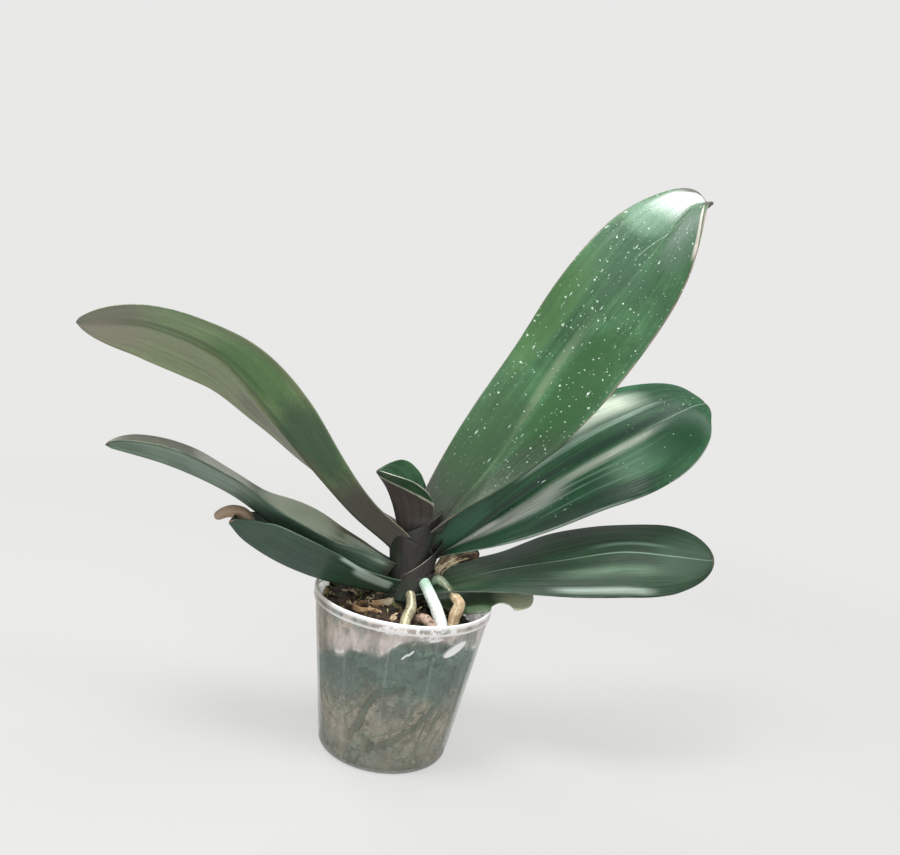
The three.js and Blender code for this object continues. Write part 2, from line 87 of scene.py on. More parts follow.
def smooth_value(values: Sequence, places: np.ndarray) -> np.ndarray:
    """Smooth values through evenly spaced ones.

    Args:
        values: Numbers or points, evenly spaced from place 0 to place 1.
        places: Where the values are wanted.

    Returns:
        One number or point for each place.
    """
    known = np.asarray(values, float)
    last = len(known) - 1
    place = np.clip(np.asarray(places, float) * last, 0, last)
    low = np.minimum(place.astype(int), last - 1)
    t = place - low
    if known.ndim > 1:
        t = t[..., None]
    padded = np.concatenate([[2 * known[0] - known[1]], known, [2 * known[-1] - known[-2]]])
    before, here, there, after = (padded[low + k] for k in range(4))
    bend = 2 * before - 5 * here + 4 * there - after
    turn = 3 * here - before - 3 * there + after
    return 0.5 * (2 * here + (there - before) * t + bend * t**2 + turn * t**3)


class Path:
    """A smooth line through points, read by its length."""

    samples = 600
    step_share = 1 / 400

    def __init__(self, points: Sequence) -> None:
        """Samples the line closely, so that places on it can be read by length."""
        self.dense = smooth_value(points, np.linspace(0, 1, self.samples))
        steps = np.linalg.norm(np.diff(self.dense, axis=0), axis=1)
        self.run = np.concatenate([[0], np.cumsum(steps)])
        self.length = float(self.run[-1])

    def read(self, lengths: np.ndarray) -> Grid:
        """Returns the points at those lengths."""
        return np.stack([np.interp(lengths, self.run, self.dense[:, k]) for k in range(3)], -1)

    def at(self, places: np.ndarray) -> tuple[Grid, Grid]:
        """Reads the line.

        Args:
            places: Shares of the line's length, from 0 to 1.

        Returns:
            The points there and the directions in which the line runs there.
        """
        wanted = np.clip(places, 0, 1) * self.length
        step = self.length * self.step_share
        ahead = self.read(np.minimum(wanted + step, self.length)) - self.read(np.maximum(wanted - step, 0))
        return self.read(wanted), unit(ahead)


def unit(vectors: Grid) -> Grid:
    """Returns the vectors at length one."""
    return vectors / np.maximum(np.linalg.norm(vectors, axis=-1, keepdims=True), 1e-9)


def ripple(points: Grid, scale: float, seed: float) -> np.ndarray:
    """Soft noise at points.

    Args:
        points: Points in millimetres.
        scale: Size of the noise's waves in millimetres.
        seed: Which noise it is.

    Returns:
        A value from about -1 to 1 for each point.
    """
    flat = points.reshape(-1, 3) / scale
    shift = Vector((seed * 7.3, seed * 3.1, seed * 5.7))
    values = [noise.noise(Vector(p) + shift) for p in flat]
    return np.array(values).reshape(points.shape[:-1])


def turns(count: int) -> np.ndarray:
    """Returns evenly spaced angles round a full turn, in radians."""
    return np.linspace(0, FULL_TURN, count, endpoint=False)


def circle(radius: Grid | float, turn: Grid, z: Grid | float) -> Grid:
    """Returns points at a radius, at angles in radians and at a height."""
    return np.stack(np.broadcast_arrays(radius * np.cos(turn), radius * np.sin(turn), z), -1)


def bearing_point(reach: float, angle: float, z: float) -> Point:
    """Returns the one point at a reach, an angle in radians and a height."""
    return (reach * math.cos(angle), reach * math.sin(angle), z)


# Meshes


def show(name: str, data: bpy.types.ID) -> bpy.types.Object:
    """Returns a new object with that data, linked into the scene."""
    item = bpy.data.objects.new(name, data)
    bpy.context.scene.collection.objects.link(item)
    return item


def store_places(mesh: bpy.types.Mesh, values: Sequence) -> None:
    """Stores a place value on every point of a mesh."""
    stored = mesh.attributes.new(PLACE, "FLOAT_VECTOR", "POINT")
    stored.data.foreach_set("vector", np.asarray(values, np.float32).ravel())


def move_points(piece: bpy.types.Object, change: Callable[[Grid], Grid]) -> None:
    """Puts a piece's points, in metres, where a function moves them."""
    flat = np.zeros(len(piece.data.vertices) * 3)
    piece.data.vertices.foreach_get("co", flat)
    piece.data.vertices.foreach_set("co", change(flat.reshape(-1, 3)).ravel())
    piece.data.update()


class Skin:
    """Closed shells gathered into one mesh, with a place value on every point."""

    def __init__(self) -> None:
        """Starts without shells."""
        self.points: list[Grid] = []
        self.places: list[Grid] = []
        self.faces: list[tuple[int, ...]] = []
        self.count = 0

    def loft(self, rings: Grid, places: Grid) -> None:
        """Adds a shell over a stack of rings, closed at both ends.

        Args:
            rings: Points in millimetres, by ring and then round the ring.
            places: A place value for each point.
        """
        rows, sides = rings.shape[:2]
        ends = [rings[0].mean(0), rings[-1].mean(0)]
        end_places = [places[0].mean(0), places[-1].mean(0)]
        points = np.concatenate([rings.reshape(-1, 3), ends])
        index = np.arange(rows * sides).reshape(rows, sides)
        after = np.roll(index, -1, axis=1)
        quads = np.stack([index[:-1], after[:-1], after[1:], index[1:]], -1).reshape(-1, 4)
        first, last = rows * sides, rows * sides + 1
        caps = [(first, b, a) for a, b in zip(index[0], after[0])]
        caps += [(last, a, b) for a, b in zip(index[-1], after[-1])]
        trios = np.concatenate([quads[:, [0, 1, 2]], quads[:, [0, 2, 3]], caps])
        a, b, c = (points[trios[:, k]] for k in range(3))
        order = -1 if np.einsum("ij,ij->i", a, np.cross(b, c)).sum() < 0 else 1
        self.faces += [tuple(int(i) + self.count for i in face)[::order] for face in [*quads, *caps]]
        self.points.append(points)
        self.places.append(np.concatenate([places.reshape(-1, 3), end_places]))
        self.count += len(points)

    def tube(self, path: Path, radii: Grid, places: np.ndarray, sides: int, third: float = 0.0) -> None:
        """Adds a closed tube.

        Args:
            path: The line through its middle.
            radii: Its radius at each place and, where it has a second axis, at each side.
            places: Shares of the path's length, kept as the first part of the place value.
            sides: Points round it. The second part of the place value goes from 0 to 1 round it.
            third: The third part of the place value.
        """
        around = np.linspace(0, 1, sides, endpoint=False)
        place = np.stack(np.broadcast_arrays(places[:, None], around[None, :], third), -1)
        self.loft(tube_rings(path, radii, places, sides), place)

    def build(self, name: str, material: bpy.types.Material | None) -> bpy.types.Object:
        """Makes the shells an object.

        Args:
            name: The piece's name.
            material: Its finish, where it has one yet.

        Returns:
            The object, in metres.
        """
        mesh = bpy.data.meshes.new(name)
        mesh.from_pydata(np.concatenate(self.points) * MM, [], self.faces)
        store_places(mesh, np.concatenate(self.places))
        mesh.shade_smooth()
        if material:
            mesh.materials.append(material)
        return show(name, mesh)


def tube_rings(path: Path, radii: Grid, places: np.ndarray, sides: int) -> Grid:
    """Rings round a path.

    Args:
        path: The line through the middle.
        radii: Radius at each ring and, where it has a second axis, at each side.
        places: Shares of the path's length at which the rings stand.
        sides: Points in a ring.

    Returns:
        The rings' points, by ring and then round the ring.
    """
    centres, tangents = path.at(places)
    across = np.cross(tangents[0], (0.0, 0.3, 1.0))
    frames = []
    for tangent in tangents:
        across = unit(across - tangent * np.dot(across, tangent))
        frames.append((across, np.cross(tangent, across)))
    frames = np.array(frames)
    turn = turns(sides)[None, :, None]
    outward = frames[:, None, 0] * np.cos(turn) + frames[:, None, 1] * np.sin(turn)
    radii = np.asarray(radii, float)
    return centres[:, None] + outward * (radii[:, None] if radii.ndim == 1 else radii)[..., None]


def rounded_ends(places: np.ndarray, radii: np.ndarray, length: float) -> np.ndarray:
    """Radii that close in a round nose at both ends of a limb."""
    reach = np.minimum(places, 1 - places) * length
    share = np.clip(reach / np.maximum(radii, 0.1), 0, 1)
    return radii * np.sqrt(np.clip(1 - (1 - share) ** 2, 0.0, 1)) + 0.05


def close_ends(count: int, tight: float) -> np.ndarray:
    """Places from 0 to 1 that stand closer together at both ends."""
    even = np.linspace(0, 1, count)
    nose = np.array([0, 0.12, 0.4, 0.8]) * tight
    middle = even[(even > tight) & (even < 1 - tight)]
    return np.concatenate([nose, [tight], middle, [1 - tight], 1 - nose[::-1]])


# Nodes


class Wire:
    """A value or colour that runs between nodes. Arithmetic on it adds nodes."""

    def __init__(self, shader: "Shader", socket: bpy.types.NodeSocket) -> None:
        """Keeps the socket that the value comes from."""
        self.shader = shader
        self.socket = socket

    def math(self, operation: str, *others: "Wire | float", clamp: bool = False) -> "Wire":
        """Returns this value after a Math node with the others."""
        inputs = dict(enumerate((self, *others)))
        return self.shader.node("ShaderNodeMath", {"operation": operation, "use_clamp": clamp}, inputs)

    def __add__(self, other: "Wire | float") -> "Wire":
        """Returns the sum."""
        return self.math("ADD", other)

    __radd__ = __add__

    def __mul__(self, other: "Wire | float") -> "Wire":
        """Returns the product."""
        return self.math("MULTIPLY", other)

    __rmul__ = __mul__

    def __sub__(self, other: "Wire | float") -> "Wire":
        """Returns the difference."""
        return self.math("SUBTRACT", other)

    def __rsub__(self, other: float) -> "Wire":
        """Returns the difference from a number."""
        return self.shader.node("ShaderNodeMath", {"operation": "SUBTRACT"}, {0: other, 1: self})

    def __truediv__(self, other: "Wire | float") -> "Wire":
        """Returns the quotient."""
        return self.math("DIVIDE", other)

    def __pow__(self, other: "Wire | float") -> "Wire":
        """Returns the power."""
        return self.math("POWER", other)

    def __abs__(self) -> "Wire":
        """Returns the size without the sign."""
        return self.math("ABSOLUTE")

    def between(self, low: float, high: float, first: float = 0.0, last: float = 1.0) -> "Wire":
        """Returns a soft step that goes from first at low to last at high."""
        inputs = {"Value": self, "From Min": low, "From Max": high, "To Min": first, "To Max": last}
        if low > high:
            inputs.update({"From Min": high, "From Max": low, "To Min": last, "To Max": first})
        return self.shader.node("ShaderNodeMapRange", {"interpolation_type": "SMOOTHSTEP"}, inputs)


class Nodes:
    """A node tree, built node by node."""

    def __init__(self, tree: bpy.types.NodeTree) -> None:
        """Takes the tree and empties it."""
        self.tree = tree
        self.tree.nodes.clear()

    def add(self, kind: str, settings: dict | None = None, inputs: dict | None = None) -> bpy.types.Node:
        """Adds a node.

        Args:
            kind: The node's type.
            settings: Its own settings, set before its sockets.
            inputs: Values, wires or other nodes' sockets for its sockets, by name or index.

        Returns:
            The node.
        """
        node = self.tree.nodes.new(kind)
        for key, value in (settings or {}).items():
            setattr(node, key, value)
        for key, value in (inputs or {}).items():
            socket = node.inputs[key]
            source = value.socket if isinstance(value, Wire) else value
            if isinstance(source, bpy.types.NodeSocket):
                self.tree.links.new(source, socket)
            elif isinstance(value, tuple) and socket.type == "RGBA":
                socket.default_value = (*light(value), 1.0)
            else:
                socket.default_value = value
        return node


class Shader(Nodes):
    """A material's nodes, joined by wires."""

    def __init__(self, name: str) -> None:
        """Starts an empty material of that name."""
        self.material = bpy.data.materials.new(name)
        self.material.use_nodes = True
        super().__init__(self.material.node_tree)

    def node(
        self, kind: str, settings: dict | None = None, inputs: dict | None = None, out: int | str = 0
    ) -> Wire:
        """Adds a node as add does, and returns a wire from one of its outputs."""
        return Wire(self, self.add(kind, settings, inputs).outputs[out])

    def stored(self, name: str, out: str) -> Wire:
        """Returns a value stored on the piece, by its name."""
        return self.node("ShaderNodeAttribute", {"attribute_name": name}, out=out)

    def place(self) -> tuple[Wire, Wire, Wire]:
        """Returns the three parts of the piece's own place value."""
        return self.split(self.stored(PLACE, "Vector"))

    def split(self, vector: Wire) -> tuple[Wire, Wire, Wire]:
        """Returns a vector's three parts."""
        parts = self.node("ShaderNodeSeparateXYZ", inputs={0: vector})
        return tuple(Wire(self, socket) for socket in parts.socket.node.outputs)

    def join(self, *parts: Wire | float) -> Wire:
        """Returns a vector of three parts."""
        return self.node("ShaderNodeCombineXYZ", inputs=dict(enumerate(parts)))

    def object_place(self) -> Wire:
        """Returns where a point is on the object, in metres."""
        return self.node("ShaderNodeTexCoord", out="Object")

    def noise(
        self, vector: Wire, scale: float, detail: float = 3.0, rough: float = 0.5, bend: float = 0.0
    ) -> Wire:
        """Returns soft noise from 0 to 1 over the vector."""
        names = ("Vector", "Scale", "Detail", "Roughness", "Distortion")
        inputs = dict(zip(names, (vector, scale, detail, rough, bend)))
        return self.node("ShaderNodeTexNoise", inputs=inputs)

    def cells(self, vector: Wire, scale: float, out: str = "Distance", flat: bool = False) -> Wire:
        """Returns a cell pattern over the vector, or over its first two parts where it is flat."""
        settings = {"voronoi_dimensions": "2D" if flat else "3D"}
        return self.node("ShaderNodeTexVoronoi", settings, {"Vector": vector, "Scale": scale}, out)

    def blend(self, share: Wire | float, first: Wire | Colour, second: Wire | Colour) -> Wire:
        """Returns the first colour turned into the second by a share."""
        return self.node("ShaderNodeMix", {"data_type": "RGBA"}, {0: share, 6: first, 7: second}, out=2)

    def shade(self, colour: Wire | Colour, value: Wire) -> Wire:
        """Returns the colour made lighter or darker by a value."""
        return self.node("ShaderNodeVectorMath", {"operation": "SCALE"}, {0: colour, 3: value})

    def bow(self, t: Wire, values: tuple[float, float, float]) -> Wire:
        """Returns a value that bows through three as t goes from 0 over a half to 1."""
        first, middle, last = values
        return t * (4 * middle - 3 * first - last) + t * t * (2 * first - 4 * middle + 2 * last) + first

    def bump(self, height: Wire, distance: float, strength: float) -> Wire:
        """Returns a normal raised by a height, over a distance in metres."""
        inputs = {"Height": height, "Distance": distance, "Strength": strength}
        return self.node("ShaderNodeBump", inputs=inputs)

    def surface(self, **inputs: Wire | float | Colour) -> Wire:
        """Returns the main shader with its sockets set, named with underscores for spaces."""
        named = {key.replace("_", " "): value for key, value in inputs.items()}
        return self.node("ShaderNodeBsdfPrincipled", inputs=named)

    def finish(self, shader: Wire) -> bpy.types.Material:
        """Returns the material with this shader on its surface."""
        self.add("ShaderNodeOutputMaterial", inputs={"Surface": shader})
        return self.material


# Finishes


class Face(Enum):
    """The face of a leaf that a mark shows on."""

    UPPER = 0
    LOWER = 1
    BOTH = 2


@dataclass(frozen=True)
class Mark:
    """A soft patch of colour on a leaf, placed along the leaf from 0 to 1 and across it from -1 to 1. Some
    are stains of the leaf's own colour, others painted sheen, painted highlights and painted shade.
    """

    along: float
    across: float
    reach: float
    spread: float
    colour: Colour
    strength: float = 0.8
    face: Face = Face.UPPER


@dataclass(frozen=True)
class Band:
    """A soft band along a leaf, bowed through three places across it, its half width in millimetres. Some
    bands are the leaf's own lines and tones, others painted sheen, painted highlights and painted shade.
    """

    colour: Colour
    start: float
    end: float
    across: tuple[float, float, float]
    half: float
    strength: float = 0.7
    soft: float = 0.7
    broken: float = 0.0
    fade: float = 0.1
    face: Face = Face.UPPER


@dataclass(frozen=True)
class LeafFinish:
    """Waxy leaf skin with lengthwise veins, a pale margin and a purple base, with bands and marks that
    include painted sheen, painted highlights and painted shade.
    """

    name: str
    upper: Colour
    upper_dark: Colour
    lower: Colour
    lower_pale: Colour
    rib: Colour
    length: float
    width: float
    purple: Colour = (66, 50, 48)
    purple_end: float = 0.1
    purple_strength: float = 0.85
    purple_full: float = 0.25
    margin: Colour = (150, 150, 132)
    margin_width: float = 0.03
    margin_strength: float = 0.6
    rib_strength: float = 0.5
    rib_start: float = 0.1
    rib_half: float = 0.8
    rib_shift: tuple[float, float, float] = (0.0, 0.0, 0.0)
    far_wing: Colour | None = None
    near_wing: Colour | None = None
    wing_strength: float = 0.7
    keel: float = 0.0
    turned_in: tuple[float, float] | None = None
    specks: float = 0.0
    tip: Colour = (96, 78, 66)
    tip_start: float = 0.985
    roughness: float = 0.36
    coat: float = 0.3
    gloss: float = 0.5
    grain: float = 1.0
    bands: tuple[Band, ...] = ()
    marks: tuple[Mark, ...] = ()
    speck_layers: tuple[tuple[float, ...], ...] = (
        (9.0, 1.0, 0.085, 0.5, 0.0), (5.5, 1.0, 0.08, 0.4, 31.0), (7.5, 0.3, 0.07, 0.4, 77.0),
        (3.2, 1.0, 0.1, 0.24, 55.0),
    )

    def material(self) -> bpy.types.Material:
        """Returns the leaf's material."""
        s = Shader(self.name)
        along, across, under = s.place()
        where = s.object_place()
        run = along * self.length
        side = across * self.width
        wide = abs(across)
        veins = s.noise(s.join(run * 0.012, side * 0.75, under * 9.0), 1.0, 4.0, 0.6)
        fibres = s.noise(s.join(run * 0.05, side * 2.6, under * 5.0), 1.0, 2.0, 0.5)
        pleats = s.noise(s.join(run * 0.003, side * 0.2, under * 3.0), 1.0, 2.0, 0.5)
        cloud = s.noise(where, 34.0, 4.0, 0.6)
        mottle = s.noise(where, 230.0, 3.0, 0.6)
        pores = s.noise(where, 900.0, 2.0, 0.6)
        upper = s.blend(cloud.between(0.3, 0.72), self.upper_dark, self.upper)
        lower = s.blend(cloud.between(0.35, 0.7), self.lower, self.lower_pale)
        lower = self.wings(s, lower, across + (cloud - 0.5) * 0.16 - self.keel)
        skin = s.blend(under, upper, lower)
        if self.turned_in:
            slope, level = self.turned_in
            past = across + along * slope - level
            skin = s.blend(past.between(0.0, 0.04) * under, skin, upper)
            skin = s.blend(abs(past).between(0.07, 0.02) * under * self.margin_strength, skin, self.margin)
        for pattern, low, high, depth in (
            (veins, 0.25, 0.75, 0.2 * self.grain),
            (pleats, 0.3, 0.7, 0.12 * self.grain),
            (fibres, 0.2, 0.8, 0.08),
            (mottle, 0.25, 0.75, 0.07),
            (pores, 0.25, 0.75, 0.05),
        ):
            skin = s.shade(skin, pattern.between(low, high, 1.0 - depth, 1.0 + depth))
        base = along + (mottle - 0.5) * 0.05 + (veins - 0.5) * 0.1
        base = base.between(self.purple_end, self.purple_end * self.purple_full)
        skin = s.blend(base * self.purple_strength, skin, self.purple)
        # Bands: the leaf's own lines and tones, and painted sheen, highlights and shade along the leaf.
        for band in self.bands:
            middle = s.bow((along - band.start) / (band.end - band.start), band.across)
            share = abs((across - middle) * (self.width / band.half)).between(1.0, 1.0 - band.soft)
            share = share * along.between(band.start, band.start + band.fade)
            share = share * along.between(band.end, band.end - band.fade)
            if band.broken:
                share = share * (veins * 0.6 + fibres * 0.4).between(0.4, 0.58, 1.0 - band.broken, 1.0)
            skin = s.blend(self.on_face(share * band.strength, under, band.face), skin, band.colour)
        off = abs((across - s.bow(along, self.rib_shift)) * self.width)
        rib = off.between(self.rib_half, self.rib_half * 0.3)
        rib = rib * along.between(self.rib_start, self.rib_start + 0.2)
        skin = s.blend(rib * self.rib_strength, skin, self.rib)
        margin = wide.between(1 - self.margin_width, 1.0) * self.margin_strength
        skin = s.blend(margin * s.noise(where, 60.0).between(0.3, 0.6), skin, self.margin)
        skin = s.blend((along + (mottle - 0.5) * 0.01).between(self.tip_start, 1.0), skin, self.tip)
        ragged = (cloud - 0.5) * 0.5 + (mottle - 0.5) * 0.3
        # Marks: stains, and patches of painted sheen, highlights and shade.
        for mark in self.marks:
            far = ((along - mark.along) / mark.reach) ** 2.0
            far = far + ((across - mark.across) / mark.spread) ** 2.0
            share = (far + ragged).between(1.0, 0.15) * mark.strength
            skin = s.blend(self.on_face(share, under, mark.face), skin, mark.colour)
        rough = self.roughness + (veins - 0.5) * 0.2 + (mottle - 0.5) * 0.12
        if self.specks:
            white = self.speck_mask(s, run, side, under)
            skin = s.blend(white, skin, (214, 234, 220))
            rough = rough + white * 0.3
        relief = veins * 0.6 + pleats * 1.2 + fibres * 0.16 + mottle * 0.14 + pores * 0.06
        normal = s.bump(relief, 0.0012, 0.45)
        wax = {"Coat_Weight": self.coat, "Coat_Roughness": 0.22, "Specular_IOR_Level": self.gloss}
        return s.finish(s.surface(Base_Color=skin, Roughness=rough, Normal=normal, **wax))

    def wings(self, s: Shader, lower: Wire, across: Wire) -> Wire:
        """Gives the two halves of the leaf's lower face their own tones."""
        if self.far_wing:
            lower = s.blend(across.between(0.02, -0.08) * self.wing_strength, lower, self.far_wing)
        if self.near_wing:
            lower = s.blend(across.between(-0.02, 0.08) * self.wing_strength, lower, self.near_wing)
        return lower

    def on_face(self, share: Wire, under: Wire, face: Face) -> Wire:
        """Returns the share limited to one face of the leaf."""
        if face is Face.BOTH:
            return share
        return share * (under if face is Face.LOWER else 1.0 - under)

    def speck_mask(self, s: Shader, run: Wire, side: Wire, under: Wire) -> Wire:
        """Returns a mask of small white specks on the leaf's upper face, thicker in some parts."""
        crowd = s.noise(s.join(run * 0.03, side * 0.05, 8.0), 1.0, 2.0)
        fleck = s.noise(s.join(run, side, 5.0), 1.6, 2.0).between(0.3, 0.7, 0.6, 1.9)
        total: Wire | float = 0.0
        for size, stretch, radius, share, shift in self.speck_layers:
            spot = s.join(run * stretch + shift, side + shift, 0.0)
            near = s.cells(spot, 1 / size, flat=True)
            pick, big, _ = s.split(s.cells(spot, 1 / size, "Color", flat=True))
            reach = big * radius + radius * 0.45
            chosen = (pick - crowd * 0.9).between(share * self.specks - 0.43, share * self.specks - 0.45)
            mask = (near / reach * fleck).between(1.0, 0.5) * chosen * big.between(0.0, 1.0, 0.55, 1.0)
            total = mask.math("MAXIMUM", total)
        return total * (1.0 - under) * (run * (1 / self.length)).between(0.18, 0.42, 0.25, 1.0)


@dataclass(frozen=True)
class StemFinish:
    """Dark purple-brown leaf bases with thin pale upper edges at the front."""

    body: Colour = (56, 52, 49)
    green: Colour = (50, 64, 52)
    edge: Colour = (206, 208, 196)

    def material(self) -> bpy.types.Material:
        """Returns the stem's material."""
        s = Shader("stem_skin")
        up, around, pale = s.place()
        where = s.object_place()
        streak = s.noise(s.join(around * 40.0, up * 1.5, pale), 1.0, 4.0, 0.6)
        cloud = s.noise(where, 60.0, 3.0)
        skin = s.blend(cloud.between(0.4, 0.65), self.body, self.green)
        skin = s.shade(skin, streak.between(0.2, 0.8, 0.65, 1.4))
        front = abs(around - 0.72).between(0.15, 0.1)
        skin = s.blend(pale * front * streak.between(0.25, 0.55, 0.5, 1.0), skin, self.edge)
        normal = s.bump(streak, 0.001, 0.5)
        rough = streak.between(0.2, 0.8, 0.5, 0.68)
        return s.finish(s.surface(Base_Color=skin, Roughness=rough, Normal=normal))


@dataclass(frozen=True)
class RootFinish:
    """Root skin: a spongy pale coat over a darker core, wrinkled and stained, with a painted highlight line
    along one side where given.
    """

    name: str
    coat: Colour
    stain: Colour
    dark: Colour
    start: Colour
    start_end: float = 0.0
    wrinkle: float = 0.5
    roughness: float = 0.7
    middle: Colour | None = None
    middle_from: float = 0.3
    middle_to: float = 0.5
    # A painted highlight line along the lit side of the root.
    highlight_line: Colour | None = None
    highlight_around: float = 0.8
    highlight_half: float = 0.04
    highlight_strength: float = 0.7
    fine: Colour | None = None
    mottle: float = 0.2

    def material(self) -> bpy.types.Material:
        """Returns the root's material."""
        s = Shader(self.name)
        along, around, thin = s.place()
        where = s.object_place()
        cloud = s.noise(where, 150.0, 4.0, 0.6)
        grain = s.noise(where, 900.0, 3.0, 0.6)
        rings = s.noise(s.join(along * 60.0, around * 2.0, 0.0), 1.0, 3.0, 0.6)
        pits = s.cells(where, 620.0)
        place = along + (cloud - 0.5) * 0.12
        skin = s.blend(cloud.between(0.38, 0.62), self.coat, self.stain)
        skin = s.blend(rings.between(0.56, 0.75) * 0.55, skin, self.dark)
        spots = s.noise(where, 380.0, 4.0, 0.65)
        skin = s.blend(spots.between(0.5, 0.62) * self.mottle, skin, self.dark)
        if self.middle:
            within = place.between(self.middle_from - 0.04, self.middle_from + 0.04)
            within = within * place.between(self.middle_to + 0.04, self.middle_to - 0.04)
            skin = s.blend(within, skin, self.middle)
        if self.start_end:
            skin = s.blend(place.between(self.start_end * 1.6, self.start_end * 0.5), skin, self.start)
        if self.fine:
            skin = s.blend(thin, skin, self.fine)
        # Painted highlight: a broken pale line along the lit side.
        if self.highlight_line:
            ridge = abs(around + (cloud - 0.5) * 0.06 - self.highlight_around)
            ridge = ridge.between(self.highlight_half, self.highlight_half * 0.3)
            broken = grain.between(0.3, 0.6, 0.5, 1.0) * spots.between(0.36, 0.52, 0.3, 1.0)
            skin = s.blend(ridge * broken * self.highlight_strength, skin, self.highlight_line)
        skin = s.shade(skin, grain.between(0.2, 0.8, 0.8, 1.18))
        skin = s.shade(skin, pits.between(0.05, 0.3, 0.8, 1.04))
        relief = rings * 0.7 + grain * 0.3 + cloud * 0.3 + pits * 0.2
        normal = s.bump(relief, 0.002, self.wrinkle)
        return s.finish(s.surface(Base_Color=skin, Roughness=self.roughness, Normal=normal))


@dataclass(frozen=True)
class BarkFinish:
    """Damp bark chips: nearly black to tan, greyer and greener behind the wall."""

    dark: Colour = (30, 24, 20)
    mid: Colour = (72, 56, 42)
    light: Colour = (186, 164, 134)
    moss: Colour = (84, 86, 44)
    wall: Colour = (110, 136, 124)
    wall_low: Colour = (204, 190, 172)
    wall_dark: Colour = (58, 88, 74)

    def material(self) -> bpy.types.Material:
        """Returns the bark's material."""
        s = Shader("bark_chips")
        where = s.object_place()
        x, y, z = s.split(where)
        tone = s.stored(TONE, "Fac")
        layers = s.noise(s.stored(PLACE, "Vector"), 1.0, 5.0, 0.65, 0.4)
        grain = s.noise(where, 700.0, 4.0, 0.7)
        cloud = s.noise(where, 45.0, 3.0)
        skin = s.blend(tone.between(0.1, 0.75), self.dark, self.mid)
        skin = s.blend(tone.between(0.86, 0.95), skin, self.light)
        skin = s.shade(skin, layers.between(0.25, 0.75, 0.55, 1.4))
        skin = s.blend(cloud.between(0.5, 0.68) * 0.6, skin, self.moss)
        radius = (x * x + y * y) ** 0.5
        near = (radius - (z * 0.1495 + 0.0408)).between(-0.004, 0.0) * z.between(0.095, 0.088)
        tide = (z + (cloud - 0.5) * 0.06).between(0.038, 0.068)
        tide = tide.math("MAXIMUM", (z + (cloud - 0.5) * 0.06).between(0.032, 0.012) * 0.9)
        damp = s.blend(tide, self.wall_low, self.wall)
        patch = s.noise(where, 70.0, 3.0, 0.6, 0.6)
        damp = s.blend(patch.between(0.52, 0.66) * 0.75, damp, self.wall_dark)
        damp = s.shade(damp, (tone + (layers - 0.5) * 0.8).between(0.0, 1.0, 0.62, 1.35))
        skin = s.blend(near * 0.88, skin, damp)
        skin = s.shade(skin, grain.between(0.2, 0.8, 0.75, 1.25))
        normal = s.bump(layers * 0.7 + grain * 0.4, 0.0015, 0.6)
        return s.finish(s.surface(Base_Color=skin, Roughness=0.85, Normal=normal))


@dataclass(frozen=True)
class MossFinish:
    """Moss strands, from olive to dark green, with some dry pale ones."""

    green: Colour = (62, 76, 38)
    olive: Colour = (122, 124, 62)
    dry: Colour = (206, 198, 150)

    def material(self) -> bpy.types.Material:
        """Returns the moss's material."""
        s = Shader("moss_strands")
        tone = s.stored(TONE, "Fac")
        grain = s.noise(s.object_place(), 800.0, 3.0, 0.6)
        skin = s.blend(tone.between(0.2, 0.7), self.green, self.olive)
        skin = s.blend(tone.between(0.84, 0.94), skin, self.dry)
        skin = s.shade(skin, grain.between(0.2, 0.8, 0.7, 1.25))
        return s.finish(s.surface(Base_Color=skin, Roughness=0.85, Normal=s.bump(grain, 0.001, 0.5)))


@dataclass(frozen=True)
class GlareSpot:
    """A painted glint or glare on the pot's wall: bearing in degrees, height and half sizes in millimetres.
    """

    bearing: float
    z: float
    wide: float
    tall: float
    lean: float = 0.0
    # Whether noise breaks the painted glare into ragged patches.
    broken_up: bool = False

    def mask(self, around: Wire, up: Wire, girth: float, height: float) -> Wire:
        """Marks the spot.

        Args:
            around: Bearing from 0 to 1.
            up: Height as a share of the pot's.
            girth: Length round the wall in millimetres.
            height: The pot's height in millimetres.

        Returns:
            A mask, 1 on the spot.
        """
        across = (around - (self.bearing % 360) / 360) * girth
        rise = up * height - self.z - across * self.lean
        return ((across / self.wide) ** 2.0 + (rise / self.tall) ** 2.0).between(1.15, 0.7)


